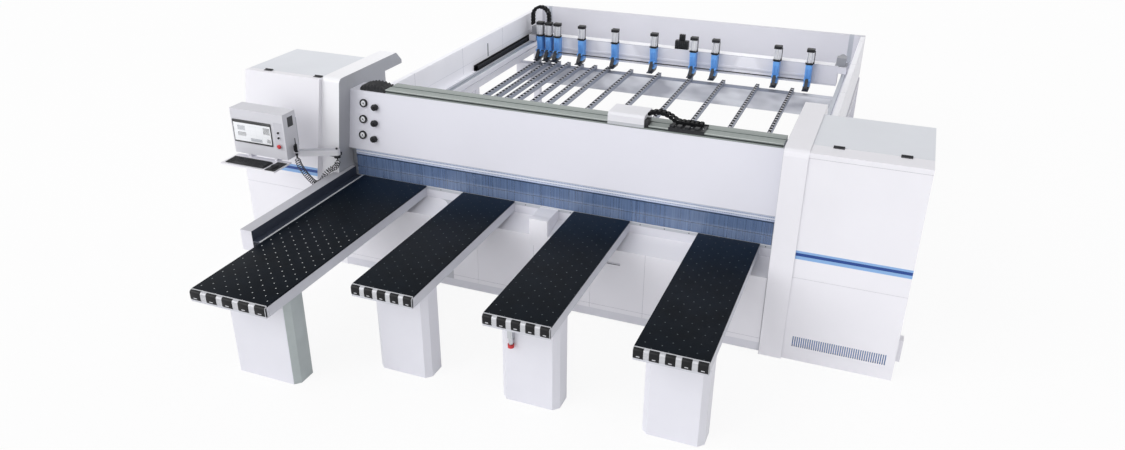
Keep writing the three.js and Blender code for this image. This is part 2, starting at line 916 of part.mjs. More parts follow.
function beamRailOutline() {
  const low = beamDeck + seat;
  const middle = low + beamRailHeight / 2;
  const centre = (beamRailFront + beamRailBack) / 2;
  return [
    [beamRailFront, low],
    [beamRailFront, middle - beamRailGroove / 2],
    [beamRailFront + beamRailGrooveDepth, middle - beamRailGroove / 2],
    [beamRailFront + beamRailGrooveDepth, middle + beamRailGroove / 2],
    [beamRailFront, middle + beamRailGroove / 2],
    [beamRailFront, railTop],
    [centre - beamRailGroove, railTop],
    [centre - beamRailGroove, railTop - beamRailGrooveDepth],
    [centre + beamRailGroove, railTop - beamRailGrooveDepth],
    [centre + beamRailGroove, railTop],
    [beamRailBack, railTop],
    [beamRailBack, low],
  ];
}
piece(machine, 'beam_rail', prism('x', beamRailOutline(), railStart, railEnd), anodised);

// Folded bellows at the home end of the rail, outline in (x, z)
function bellows() {
  const end = railStart - seat;
  const start = end - bellowsLength;
  const low = beamDeck + seat;
  const fold = bellowsLength / bellowsFoldCount;
  const crest = (share) => low + bellowsLow + (bellowsPeak - bellowsLow) * Math.sin(Math.PI * share);
  const ridge = Array.from({ length: bellowsFoldCount }, (_, i) => [
    [crest(i / bellowsFoldCount) - bellowsInset, start + fold * i],
    [crest((i + 0.5) / bellowsFoldCount), start + fold * (i + 0.5)],
  ]).flat();
  const outline = [[low, start], ...ridge, [low + bellowsLow, end], [low, end]];
  return prism('y', outline, beamRailFront, bellowsBack);
}
piece(machine, 'rail_bellows', bellows(), rubber);

// Pressure beam with its blade groove and guide tongues
const pressEnd = columnInner - pressEndGap;
piece(machine, 'pressure_beam', cut(
  block([-pressEnd, pressEnd], [-pressHalf, pressHalf], [pressBottom, pressTop]).add(
    block([-columnInner - tongueReach, columnInner + tongueReach], [-tongueHalf, tongueHalf],
      [tongueBottom, tongueTop])),
  [block([-pressEnd - overrun, pressEnd + overrun], [-pressGrooveHalf, pressGrooveHalf],
    [pressBottom - overrun, pressBottom + pressGrooveDepth])],
), steel);

// Curtain: a band under the cover's edge and the strips that hang from it
const bandTop = coverBottom - seat;
const bandBottom = bandTop - bandHeight;
piece(machine, 'curtain_band', block([bandStart, beamHalf], [-bandFront, -bandFront + bandThickness],
  [bandBottom, bandTop]), white);

// Outline in (z, x): a header with strips slit from its lower edge
function slitSheet() {
  const pitch = stripWidth + stripGap;
  const count = Math.floor((beamHalf - bandStart) / pitch);
  const top = bandBottom - seat;
  const low = tableHeight + stripClearance;
  const teeth = Array.from({ length: count }, (_, i) => {
    const start = bandStart + pitch * i;
    const end = start + stripWidth;
    const slit = [[top - stripHeader, start], [low, start], [low, end], [top - stripHeader, end]];
    return slit;
  }).flat();
  const middle = -bandFront + bandThickness / 2;
  return prism('y', [...teeth, [top, bandStart + pitch * count - stripGap], [top, bandStart]],
    middle - stripThickness / 2, middle + stripThickness / 2);
}
piece(machine, 'strip_curtain', slitSheet(), clearBlue);

// Gauges and knobs stand square to the sloping cover
const coverFace = new THREE.Group();
coverFace.position.set(-columnInner, -coverHighFront, coverTop);
coverFace.rotation.x = -coverSlope;
machine.add(coverFace);
const gaugeLevels = gaugeDistances.map((distance) => -distance);
function gauges() {
  const reach = gaugeStemRadius + manifoldDepth / 2;
  const manifold = block([gaugeFromEnd - manifoldWidth / 2, gaugeFromEnd + manifoldWidth / 2],
    [beamSheet + seat, beamSheet + seat + manifoldDepth], [gaugeLevels[2] - reach, gaugeLevels[0] + reach]);
  return join([manifold, ...gaugeLevels.flatMap((level) => [
    rod('y', gaugeRadius, [level, gaugeFromEnd], -gaugeDepth - seat, -seat, gaugeSides),
    block([gaugeFromEnd - gaugeStemRadius, gaugeFromEnd + gaugeStemRadius],
      [-gaugeDepth / 2, beamSheet + manifoldDepth / 2],
      [level - gaugeStemRadius, level + gaugeStemRadius]),
  ])]);
}
piece(coverFace, 'pressure_gauges', gauges(), black);
gaugeLevels.forEach((level, i) => {
  const knob = new THREE.Group();
  knob.position.set(knobFromEnd, 0, level - knobDrop);
  coverFace.add(knob);
  piece(knob, `regulator_knob_${i + 1}`, join([
    rod('y', knobRadius, [0, 0], -knobLength - seat, -seat, knobSides),
    rod('y', knobNeckRadius, [0, 0], -knobNeckLength - knobLength, -knobLength, knobSides),
  ]), black);
});

// Side aligner: a carriage that straddles the beam rail, its arm behind the beam and its roller
const aligner = new THREE.Group();
aligner.position.set(alignerLeft, 0, 0);
machine.add(aligner);
function alignerCarriage() {
  const low = railTop + seat;
  const high = low + alignerHeight;
  const outline = [
    [alignerFront, low - alignerSkirt],
    [alignerFront, high - alignerChamfer],
    [alignerFront + alignerChamfer, high],
    [alignerBack, high],
    [alignerBack, low],
    [beamRailFront - seat, low],
    [beamRailFront - seat, low - alignerSkirt],
  ];
  const arm = block([alignerArmInset, alignerArmInset + alignerArmWidth],
    [alignerBack, alignerBack + alignerArmThickness], [alignerArmBottom, high - alignerChamfer]);
  const foot = block([alignerArmInset, alignerArmInset + alignerArmWidth],
    [alignerBack - alignerRollerRadius, alignerBack + alignerArmThickness],
    [alignerArmBottom - seat, alignerArmBottom + alignerArmThickness]);
  return join([prism('x', outline, 0, alignerLength), arm, foot]);
}
piece(aligner, 'aligner_carriage', alignerCarriage(), white);
const alignerRollerX = alignerArmInset + alignerArmWidth / 2;
const alignerRollerTop = alignerArmBottom - 2 * seat;
piece(aligner, 'aligner_roller', rod('z', alignerRollerRadius, [alignerRollerX, alignerBack],
  alignerRollerTop - alignerRollerHeight, alignerRollerTop, alignerRollerSides), rubber);

// Cable chain from the carriage, over in a hump and down to its tray on the rail, outlines in (x, z)
function alignerChain() {
  const low = railTop + seat;
  const floor = low + traySheet;
  const start = alignerLength + seat;
  const hump = (x) => {
    const climb = Math.sin((Math.PI * Math.min(x, chainCrestReach)) / (2 * chainCrestReach));
    const rise = chainStart + (chainCrest - chainStart) * climb;
    const fall = Math.max(0, x - chainCrestReach) / (chainReach - chainCrestReach);
    return floor + rise * Math.cos((Math.PI * fall) / 2);
  };
  const places = Array.from({ length: chainLinkCount + 1 }, (_, i) => (chainReach * i) / chainLinkCount);
  const over = places.map((x) => [hump(x) + chainThickness / 2, start + x]);
  const inner = chainReach - chainThickness;
  const under = places.slice(1, -1).reverse().map((x) => [
    Math.max(hump(x) - chainThickness / 2, floor + seat), start + (x * inner) / chainReach]);
  const end = start + chainReach + chainRun;
  const chain = prism('y', [
    ...over,
    [floor + chainThickness, end - chainThickness],
    [floor - traySheet / 2, end - chainThickness],
    [floor - traySheet / 2, start + inner],
    ...under,
    [hump(0) - chainThickness / 2, start],
  ], chainFront, chainFront + chainWidth);
  const front = alignerFront;
  const tray = prism('x', [
    [front, low - trayLip],
    [front, floor],
    [front + trayDepth, floor],
    [front + trayDepth, low],
    [beamRailFront - seat, low],
    [beamRailFront - seat, low - trayLip],
  ], start + trayGap, end);
  return chain.add(tray);
}
piece(aligner, 'aligner_chain', alignerChain(), black);

// Saw carriage in the tunnel
const saw = new THREE.Group();
saw.position.set(carriageHome, 0, 0);
machine.add(saw);
const carriageBase = sawRailTop + seat;
const carriageTopLevel = carriageBase + carriagePlate;
function sawCarriage() {
  const near = liftStart + liftPlate + seat;
  const posts = [-1, 1].map((side) => block(
    [side * liftPostOffset - liftPostWidth / 2, side * liftPostOffset + liftPostWidth / 2],
    [near, near + liftPostDepth], [carriageTopLevel - overrun, carriageTopLevel + liftPostHeight]));
  return join([
    block([-carriageLength / 2, carriageLength / 2], [-carriageHalf, carriageHalf],
      [carriageBase, carriageTopLevel]),
    ...posts,
  ]);
}
piece(saw, 'saw_carriage', sawCarriage(), grey);

// Lift plate that slides on the posts, with both spindle housings and the motor
function sawLift() {
  const reach = liftPostOffset + liftPostWidth;
  const back = liftStart + liftPlate;
  const housing = (x, level, radius) => rod('y', radius, [level, x],
    spindleStart + spindleGap, liftStart + overrun, motorSides);
  return join([
    block([-reach, reach], [liftStart, back], [liftLevel, mainBladeLevel]),
    block([scoringOffset - liftHubRadius, liftHubRadius], [liftStart, back],
      [mainBladeLevel - overrun, scoringBladeLevel]),
    housing(0, mainBladeLevel, liftHubRadius),
    housing(scoringOffset, scoringBladeLevel, scoringHubRadius),
    rod('y', motorRadius, [mainBladeLevel, 0], liftStart, motorEnd, motorSides),
  ]);
}

// Toothed disc with its spindle nut, turning about Y
function blade(radius, thickness, toothCount) {
  const outline = Array.from({ length: toothCount }, (_, i) => {
    const angle = (2 * Math.PI * i) / toothCount;
    const valley = angle + (2 * Math.PI) / toothCount / 3;
    const root = radius - toothDepth;
    return [
      [radius * Math.cos(angle), radius * Math.sin(angle)],
      [root * Math.cos(valley), root * Math.sin(valley)],
    ];
  }).flat();
  return join([
    prism('y', outline, -thickness / 2, thickness / 2),
    rod('y', spindleRadius, [0, 0], -thickness / 2 - spindleStart, spindleStart + spindleGap - seat,
      bladeSpindleSides),
  ]);
}
piece(saw, 'saw_lift', sawLift(), grey);
function bladeOn(name, x, level, body) {
  const arbor = new THREE.Group();
  arbor.position.set(x, 0, level);
  saw.add(arbor);
  piece(arbor, name, body, bladeSteel);
}
bladeOn('main_blade', 0, mainBladeLevel, blade(mainBladeRadius, mainBladeThickness, mainToothCount));
bladeOn('scoring_blade', scoringOffset, scoringBladeLevel,
  blade(scoringBladeRadius, scoringBladeThickness, scoringToothCount));

// Side walls and rear panel round the rear table, with a shelf and guide rail along each side
const wallStart = columnBack + seat;
const wallSpan = (side) => [Math.min(side * wallHalf, side * (wallHalf + wallThickness)),
  Math.max(side * wallHalf, side * (wallHalf + wallThickness))];
const sideWall = (side) => block(wallSpan(side), [wallStart, wallRear], [wallBottom, wallTop]);
const trackEnd = wallRear - rearPanelThickness - trackEndGap;
function track(side) {
  const shelf = [side * (wallHalf + overrun), side * (wallHalf - trackShelfWidth)].sort((a, b) => a - b);
  const railCentre = side * (wallHalf - trackShelfWidth + trackRailInset);
  return block(shelf, [trackStart, trackEnd], [trackLevel - trackShelfThickness, trackLevel]).add(
    block([railCentre - trackRailWidth / 2, railCentre + trackRailWidth / 2], [trackStart, trackEnd],
      [trackLevel - overrun, trackLevel + trackRailHeight]));
}
piece(machine, 'rear_walls', join([
  sideWall(-1),
  sideWall(1),
  block([-wallHalf - overrun, wallHalf + overrun], [wallRear - rearPanelThickness, wallRear],
    [wallBottom, wallTop]),
  track(-1),
  track(1),
]), white);

// Open trough for the gantry's cable chain
function chainTrough() {
  const left = -wallHalf + troughInset;
  const right = left + troughWidth;
  const low = trackLevel + seat;
  const high = low + troughHeight;
  return prism('y', [
    [low, left],
    [high, left],
    [high, left + troughWall],
    [low + troughWall, left + troughWall],
    [low + troughWall, right - troughWall],
    [high, right - troughWall],
    [high, right],
    [low, right],
  ], troughStart, trackEnd);
}
piece(machine, 'chain_trough', chainTrough(), black);

// Rear frame: posts, sills under the walls and two cross beams under the rails
function rearFrame() {
  const centre = wallHalf + wallThickness / 2;
  const postSpan = (side) => [side * centre - postSize / 2, side * centre + postSize / 2];
  const footSpan = (side) => [side * centre - postFootSize / 2, side * centre + postFootSize / 2];
  const solids = [];
  for (const side of [-1, 1]) {
    for (const row of postRows) {
      solids.push(block(postSpan(side), [row - postSize / 2, row + postSize / 2], [0, wallBottom - seat]));
      solids.push(block(footSpan(side), [row - postFootSize / 2, row + postFootSize / 2],
        [0, postFootHeight]));
    }
    solids.push(block(postSpan(side), [firstPostRow, lastPostRow],
      [wallBottom - seat - sillHeight, wallBottom - seat]));
  }
  const cross = (front, depth, height) => block([-centre, centre], [front, front + depth],
    [crossBeamTop - height, crossBeamTop]);
  solids.push(cross(rearCrossFront, rearCrossDepth, rearCrossHeight));
  solids.push(cross(middleCrossFront, middleCrossDepth, middleCrossHeight));
  for (const side of [-1, 1]) {
    for (const [front, depth] of [[rearCrossFront, rearCrossDepth], [middleCrossFront, middleCrossDepth]]) {
      solids.push(block(postSpan(side), [front, front + depth], [crossBeamTop - overrun, wallBottom - seat]));
    }
  }
  return join(solids);
}
piece(machine, 'rear_frame', rearFrame(), pale);

// Roller rails: channels with rollers standing just above their edges
const channelLow = crossBeamTop + seat;
const rollerLevel = tableHeight - rollerRadius;
const channelTop = tableHeight - rollerRise;
const channelStart = baseBack + channelFrontGap;
function channel(x) {
  const left = x - channelWidth / 2;
  const right = x + channelWidth / 2;
  return prism('y', [
    [channelLow, left],
    [channelTop, left],
    [channelTop, left + channelWall],
    [channelLow + channelWall, left + channelWall],
    [channelLow + channelWall, right - channelWall],
    [channelTop, right - channelWall],
    [channelTop, right],
    [channelLow, right],
  ], channelStart, channelEnd);
}
function rollerRow(x) {
  const half = channelWidth / 2 - channelWall / 2;
  const count = Math.floor((channelEnd - channelStart) / rollerPitch);
  return Array.from({ length: count }, (_, i) => {
    const y = channelStart + rollerPitch * (i + 0.5);
    return rod('x', rollerRadius, [y, rollerLevel], x - half, x + half, rollerSides);
  });
}
const mountingStrip = (front, depth) => block(
  [railPlaces[0] - channelWidth / 2, railPlaces[railPlaces.length - 1] + channelWidth / 2],
  [front, front + depth], [channelLow, channelLow + channelWall]);
piece(machine, 'roller_rails', join([
  ...railPlaces.flatMap((x) => [channel(x), ...rollerRow(x)]),
  mountingStrip(rearCrossFront, rearCrossDepth),
  mountingStrip(middleCrossFront, middleCrossDepth),
]), steel);

// Gantry with its end carriages and valve block
const gantry = new THREE.Group();
gantry.position.set(0, gantryFront, 0);
machine.add(gantry);
function driveUnit(side) {
  const centre = side * (gantryHalf + carriageReach / 2 - driveInset);
  const low = carriageTop - overrun;
  const high = carriageTop + driveHeight;
  return join([
    block([centre - driveWidth / 2, centre + driveWidth / 2], [0, driveWidth], [low, high]),
    rod('y', driveMotorRadius, [(carriageTop + high) / 2, centre], driveWidth - overrun,
      driveWidth + driveMotorLength, driveSides),
  ]);
}
function gantryBeam() {
  const carriages = [-1, 1].map((side) => block(
    [side * gantryHalf, side * (gantryHalf + carriageReach)].sort((a, b) => a - b),
    [(gantryDepth - carriageDepth) / 2, (gantryDepth + carriageDepth) / 2],
    [trackLevel + trackRailHeight + seat, carriageTop]));
  const inner = [-1, 1].map((side) => block(
    [side * (gantryHalf - carriageReach), side * (gantryHalf + carriageReach)].sort((a, b) => a - b),
    [0, gantryDepth], [trackLevel + trackRailHeight + seat, carriageTop]));
  const beam = block([-gantryHalf, gantryHalf], [0, gantryDepth], [gantryBottom, gantryTop]);
  return join([beam, ...carriages, ...inner, driveUnit(-1), driveUnit(1)]);
}
piece(gantry, 'gantry_beam', gantryBeam(), pale);
const valveBase = gantryTop + seat;
const plugStart = valveBlockLeft + (valveBlockWidth - valvePlugWidth) / 2;
const valveBlock = join([
  block([valveBlockLeft, valveBlockLeft + valveBlockWidth], [0, valveBlockDepth],
    [valveBase, valveBase + valveBlockHeight]),
  block([plugStart, plugStart + valvePlugWidth], [0, valveBlockDepth],
    [valveBase + valveBlockHeight - overrun, valveBase + valveBlockHeight + valvePlugHeight]),
]);

piece(gantry, 'valve_block', valveBlock, black);

// Grippers: bodies with a fixed finger and an air cylinder above, side by side on one mounting rail
const cylinderPlace = -gripperAxis;
function gripper(x) {
  const half = gripperCapSize / 2;
  const outline = [
    [-seat, gripperBodyTop],
    [cylinderPlace - half, gripperBodyTop],
    [cylinderPlace - half, gripperShoulder],
    [-gripperToeReach, gripperToeHeight],
    [-fingerMouth, fingerTop],
    [-fingerReach, fingerTop],
    [-fingerReach, fingerBottom],
    [-gripperAxis / 2, fingerBottom],
    [-seat, gripperToeHeight],
  ];
  const cheekInner = jawWidth / 2 + seat;
  const cheeks = [-1, 1].map((side) => block(
    [x + side * cheekInner, x + side * (gripperWidth / 2)].sort((a, b) => a - b),
    [-jawPivotReach - cheekRadius, cylinderPlace - half + overrun],
    [jawPivotLevel - cheekRadius, jawPivotLevel + cheekRadius]));
  const cap = (bottom, top) => block([x - half, x + half],
    [cylinderPlace - half, cylinderPlace + half], [bottom, top]);
  return join([
    prism('x', outline, x - gripperWidth / 2, x + gripperWidth / 2),
    ...cheeks,
    cap(gripperBodyTop - overrun, gripperBodyTop + gripperBandHeight),
    rod('z', cylinderRadius, [x, cylinderPlace], gripperBodyTop, gripperTop, cylinderSides),
    cap(gripperTop - gripperCapHeight, gripperTop),
  ]);
}
const jawBoreRadius = (jawShaftRadius + seat) / Math.cos(Math.PI / shaftSides);
const rowStart = gripperPlaces[0] - gripperWidth / 2;
const rowEnd = gripperPlaces[gripperPlaces.length - 1] + gripperWidth / 2;
piece(gantry, 'gripper_row', cut(join([
  ...gripperPlaces.map(gripper),
  block([rowStart, rowEnd], [-mountRailDepth, -seat], [mountRailLow, mountRailLow + mountRailHeight]),
]), [rod('x', jawBoreRadius, [-jawPivotReach, jawPivotLevel], rowStart - overrun, rowEnd + overrun,
  shaftSides)]), blue);

// Moving jaws on their common shaft
const jaws = new THREE.Group();
jaws.position.set(0, -jawPivotReach, jawPivotLevel);
gantry.add(jaws);
function gripperJaw(x) {
  const tip = -(jawTipReach - jawPivotReach);
  const drop = jawTipLevel - jawPivotLevel;
  const outline = [
    [-jawThickness / 2, jawThickness / 2],
    [jawThickness / 2, jawThickness / 2],
    [jawThickness / 2, -jawThickness / 2],
    [tip / 2, drop],
    [tip, drop],
    [tip, drop + jawThickness / 2],
  ];
  return prism('x', outline, x - jawWidth / 2, x + jawWidth / 2);
}
piece(jaws, 'gripper_jaws', join([
  ...gripperPlaces.map(gripperJaw),
  rod('x', jawShaftRadius, [0, 0], rowStart, rowEnd, shaftSides),
]), black);

// Cable chain arch from the drive unit to the gantry beam, outline in (x, z)
function gantryChain() {
  const inner = archRadius - archThickness;
  const arch = (radius, from, to) => arc([archLevel, archCentre], radius, from, to, archSegmentCount);
  const leftFoot = carriageTop + driveHeight + seat;
  return prism('y', [
    [valveBase, archCentre + archRadius],
    ...arch(archRadius, Math.PI / 2, -Math.PI / 2),
    [leftFoot, archCentre - archRadius],
    [leftFoot, archCentre - inner],
    ...arch(inner, -Math.PI / 2, Math.PI / 2),
    [valveBase, archCentre + inner],
  ], 0, archWidth);
}
piece(gantry, 'gantry_chain', gantryChain(), black);

// Air tables
const topLow = tableHeight - topThickness;
const frameTop = topLow - seat;
const frameLow = frameTop - frameHeight;

// Stand: a welded frame on one folded sheet post with chamfered corners
function tableStand({ left, width, front, legWidth, legFront }, tabbed) {
  const near = -front + noseBlockReach;
  const far = sawTableFront - seat;
  const frame = cut(block([left, left + width], [near, far], [frameLow, frameTop]), [
    block([left + frameRail, left + width - frameRail], [near + frameRail, far - frameRail],
      [frameLow - overrun, frameTop + overrun]),
  ]);
  const centre = left + width / 2;
  const legTop = frameLow + legJoint;
  const outline = (inset) => {
    const half = legWidth / 2 - inset;
    const face = -legFront + inset;
    const rear = -legFront + legDepth - inset;
    return [
      [centre - half + legChamfer, face],
      [centre + half - legChamfer, face],
      [centre + half, face + legChamfer],
      [centre + half, rear],
      [centre - half, rear],
      [centre - half, face + legChamfer],
    ];
  };
  const footing = block([left, left + width], [-legFront, -legFront + legDepth], [frameLow, legTop]);
  const tabEnd = centre + legWidth / 2 - legChamfer;
  const tab = block([tabEnd - legTabWidth, tabEnd], [-legFront - legTabReach, -legFront + legWall],
    [frameLow - legTabThickness, frameLow + legJoint]);
  return join([
    frame,
    footing,
    cut(prism('z', outline(0), 0, legTop), [prism('z', outline(legWall), -overrun, legTop - legWall)]),
    ...(tabbed ? [tab] : []),
  ]);
}

// Top plate with the five nose blocks along its front edge
function tableTop({ left, width, front }) {
  const size = width * noseBlockShare;
  const pitch = (width - size) / (noseBlockCount - 1);
  const near = -front + noseBlockReach;
  const outline = [
    [-front, frameLow],
    [-front, tableHeight - noseChamfer],
    [-front + noseChamfer, tableHeight],
    [near + noseChamfer, tableHeight],
    [near + noseChamfer, topLow],
    [near - seat, topLow],
    [near - seat, frameLow],
  ];
  const blocks = Array.from({ length: noseBlockCount }, (_, i) => (
    prism('x', outline, left + pitch * i, left + pitch * i + size)));
  return join([block([left, left + width], [near, sawTableFront - seat], [topLow, tableHeight]), ...blocks]);
}
airTables.forEach((table, i) => {
  piece(machine, `table_stand_${i + 1}`, tableStand(table, i === legTabTable), pale);
  piece(machine, `table_top_${i + 1}`, tableTop(table), black);
});

// Squaring fence along the left table, with a polished strip along its foot
function squaringFence() {
  const right = fenceLeft + fenceWidth;
  const columnFace = -(leftColumnFront + seat);
  const body = block([fenceLeft, right], [-fenceFront, columnFace], [fenceBottom, fenceTop]).add(
    block([-columnInner + fenceLip, right], [columnFace - overrun, -fenceBack],
      [tableHeight + fenceRailRise, fenceTop]));
  const rail = block([right - overrun, airTables[0].left - seat], [-fenceFront, -fenceBack],
    [tableHeight + fenceRailRise - fenceRailHeight, tableHeight + fenceRailRise]);
  return body.add(rail);
}
piece(machine, 'squaring_fence', squaringFence(), pale);

// Bracket on the left column's leaning face, with the pin for the console arm and the air fitting
const bracketTop = armLevel - seat;
const bracketLow = bracketTop - bracketHeight;
function consoleBracket() {
  const slope = leftColumnLean / (columnHeight - columnTopRadius - leanStart);
  const face = (level) => -leftColumnFront + slope * (level - leanStart) - seat;
  const arm = prism('x', [
    [pivotY, bracketLow],
    [pivotY, bracketTop],
    [face(bracketTop), bracketTop],
    [face(bracketLow), bracketLow],
  ], pivotX - bracketReach, pivotX);
  return join([
    arm,
    rod('z', pivotRadius, [pivotX, pivotY], bracketLow, bracketTop, armSides),
    rod('z', pivotPinRadius, [pivotX, pivotY], bracketTop - overrun, armLevel + armHeight + pinRise,
      armSides),
    rod('z', hoseFittingRadius, [pivotX, pivotY], bracketLow - hoseFittingLength, bracketLow + overrun,
      gunSides),
  ]);
}
piece(machine, 'console_bracket', consoleBracket(), grey);

// Everything on the arm, measured from its pivot
const swivel = new THREE.Group();
swivel.position.set(pivotX, pivotY, 0);
machine.add(swivel);
const rearBoxLow = consoleBottom + rearBoxFoot;
const endX = armEndX - pivotX;
const endY = armEndY - pivotY;
function consoleArm() {
  const length = Math.hypot(endX, endY);
  const across = [(-endY / length) * (armWidth / 2), (endX / length) * (armWidth / 2)];
  const armTop = armLevel + armHeight;
  const bar = prism('z', [
    [across[0], across[1]],
    [-across[0], -across[1]],
    [endX - across[0], endY - across[1]],
    [endX + across[0], endY + across[1]],
  ], armLevel, armTop);
  return cut(join([
    bar,
    rod('z', armWidth / 2, [0, 0], armLevel, armTop, armSides),
    rod('z', armWidth / 2, [endX, endY], armLevel, rearBoxLow - seat, armSides),
  ]), [rod('z', pivotPinRadius + pivotPinGap, [0, 0], armLevel - overrun, armTop + overrun, armSides)]);
}
piece(swivel, 'console_arm', consoleArm(), white);

const consoleX = [consoleLeft - pivotX, consoleLeft + consoleWidth - pivotX];
const consoleY = [-consoleFront - pivotY, -consoleFront + consoleDepth - pivotY];
const buttonAt = buttonX - pivotX;
const gunX = gunPlaceX - pivotX;
const gunY = gunPlaceY - pivotY;
function consoleHousing() {
  const rear = consoleY[1];
  const rearTop = consoleTop - rearBoxDrop;
  const rearBox = prism('x', [
    [rear - overrun, rearBoxLow],
    [rear - overrun, rearTop],
    [rear + rearBoxDepth - rearBoxTaper, rearTop],
    [rear + rearBoxDepth, rearTop - rearBoxTaper],
    [rear + rearBoxDepth, rearBoxLow],
  ], consoleX[0] + rearBoxInset, consoleX[1] - rearBoxInset);
  const bore = (level, radius, depth) => rod('y', radius + buttonFit, [level, buttonAt],
    consoleY[0] - overrun, consoleY[0] + depth, buttonSides);
  const holder = block([consoleX[1] - overrun, gunX + gunHolderReach],
    [gunY - gunHolderReach, gunY + gunHolderReach],
    [gunHolderLevel, gunHolderLevel + gunHolderThickness]);
  return cut(join([block(consoleX, consoleY, [consoleBottom, consoleTop]), rearBox, holder]), [
    rod('z', gunBodyRadius + buttonFit, [gunX, gunY], gunHolderLevel - overrun,
      gunHolderLevel + gunHolderThickness + overrun, gunSides),
    bore(upperButtonLevel, buttonGuideRadius, buttonGuideDepth + buttonTravel + seat),
    bore(lowerButtonLevel, buttonGuideRadius, buttonGuideDepth + buttonTravel + seat),
    bore(stopLevel, stopStemRadius, buttonGuideDepth + stopTravel + seat),
  ]);
}
piece(swivel, 'console_housing', consoleHousing(), white);
piece(swivel, 'console_screen', block(
  [consoleX[0] + screenLeftInset, consoleX[0] + screenLeftInset + screenWidth],
  [consoleY[0] - seat - screenThickness, consoleY[0] - seat],
  [consoleBottom + screenBottomInset, consoleBottom + screenBottomInset + screenHeight]), black);

// Push buttons and the emergency stop slide in bores in the housing
function plunger(name, level, guideRadius, capRadius, capReach, travel, material) {
  const seatGap = travel + seat;
  piece(swivel, name, join([
    rod('y', guideRadius, [level, buttonAt], consoleY[0] - seatGap - overrun / 2,
      consoleY[0] + buttonGuideDepth, buttonSides),
    rod('y', capRadius, [level, buttonAt], consoleY[0] - seatGap - capReach, consoleY[0] - seatGap,
      buttonSides),
  ]), material);
}
plunger('start_button', upperButtonLevel, buttonGuideRadius, buttonRadius, buttonReach, buttonTravel, black);
plunger('reset_button', lowerButtonLevel, buttonGuideRadius, buttonRadius, buttonReach, buttonTravel, black);
plunger('emergency_stop', stopLevel, stopStemRadius, stopRadius, stopReach, stopTravel, red);

// Keyboard tray on two brackets under the console
const trayTop = trayLevel + trayThickness;
const trayY = [-trayFront - pivotY, consoleY[0] + trayTuck];
function keyboardTray() {
  const brackets = bracketShares.map((share) => {
    const x = consoleX[0] + consoleWidth * share - trayThickness;
    return block([x, x + 2 * trayThickness], [consoleY[0] + trayThickness, consoleY[0] + consoleDepth / 2],
      [trayLevel, consoleBottom - seat]);
  });
  const plate = block([consoleX[0] - trayThickness, consoleX[1]], trayY, [trayLevel, trayTop]);
  return join([plate, ...brackets]);
}
piece(swivel, 'keyboard_tray', keyboardTray(), pale);
const deskTop = trayTop + seat;
const keyboardX = consoleX[0] + keyboardInset;
const keyboardY = trayY[0] + keyboardSetback;
piece(swivel, 'keyboard', prism('x', [
  [keyboardY, deskTop],
  [keyboardY, deskTop + keyboardHeight / 2],
  [keyboardY + keyboardDepth, deskTop + keyboardHeight],
  [keyboardY + keyboardDepth, deskTop],
], keyboardX, keyboardX + keyboardWidth), black);
const padX = keyboardX + keyboardWidth + padGap;
function mouseAndPad() {
  const padTop = deskTop + padThickness;
  const right = consoleX[1] - padMargin;
  const middle = (padX + right) / 2;
  const mouseY = trayY[0] + mouseSetback;
  const mouse = prism('x', [
    [mouseY, padTop - padThickness / 2],
    [mouseY, padTop + mouseHeight * mouseLowShare],
    [mouseY + mouseLength * mouseNoseShare, padTop + mouseHeight * mouseCrownShare],
    [mouseY + mouseLength * mouseBackShare, padTop + mouseHeight],
    [mouseY + mouseLength, padTop + mouseHeight / 2],
    [mouseY + mouseLength, padTop - padThickness / 2],
  ], middle - mouseWidth / 2, middle + mouseWidth / 2);
  return block([padX, right], [trayY[0] + padMargin, trayY[0] + padDepth], [deskTop, padTop]).add(mouse);
}
piece(swivel, 'mouse_and_pad', mouseAndPad(), black);

// Air gun hanging in its holder, with a lever on a lug
function airGun() {
  const collarLow = gunHolderLevel + gunHolderThickness + seat;
  const top = gunBottom + gunBodyLength;
  const pinY = gunY - leverPinOffset - gunLugWidth / 2;
  const lug = block([gunX - gunLugWidth / 2, gunX + gunLugWidth / 2], [pinY, gunY - gunBodyRadius / 2],
    [leverPinLevel - gunLugWidth / 2, leverPinLevel + gunLugWidth / 2]).add(
    rod('x', gunLugWidth / 2, [pinY, leverPinLevel], gunX - gunLugWidth / 2, gunX + gunLugWidth / 2,
      gunSides));
  return join([
    rod('z', gunBodyRadius, [gunX, gunY], gunBottom, top, gunSides),
    rod('z', gunBodyRadius + gunCollar, [gunX, gunY], collarLow, collarLow + gunHolderThickness, gunSides),
    rod('z', gunNozzleRadius, [gunX, gunY], top - overrun, top + gunNozzleLength, gunSides),
    rod('z', hoseFittingRadius, [gunX, gunY], gunBottom - hoseFittingLength, gunBottom + overrun, gunSides),
    lug,
  ]);
}
piece(swivel, 'air_gun', airGun(), black);
const lever = new THREE.Group();
lever.position.set(gunX, gunY - leverPinOffset - gunLugWidth / 2, leverPinLevel);
swivel.add(lever);
function gunLever() {
  const cheekInner = gunLugWidth / 2 + seat;
  const outer = leverWidth / 2;
  const back = -gunLugWidth / 2 - seat;
  const cheek = (side) => block([side * cheekInner, side * outer].sort((a, b) => a - b),
    [back - leverThickness, leverCheekReach], [-leverCheekHeight / 2, leverCheekHeight / 2]);
  return join([
    block([-outer, outer], [back - leverThickness, back],
      [leverCheekHeight / 2 - leverLength, leverCheekHeight / 2]),
    cheek(-1),
    cheek(1),
  ]);
}
piece(lever, 'gun_lever', gunLever(), black);

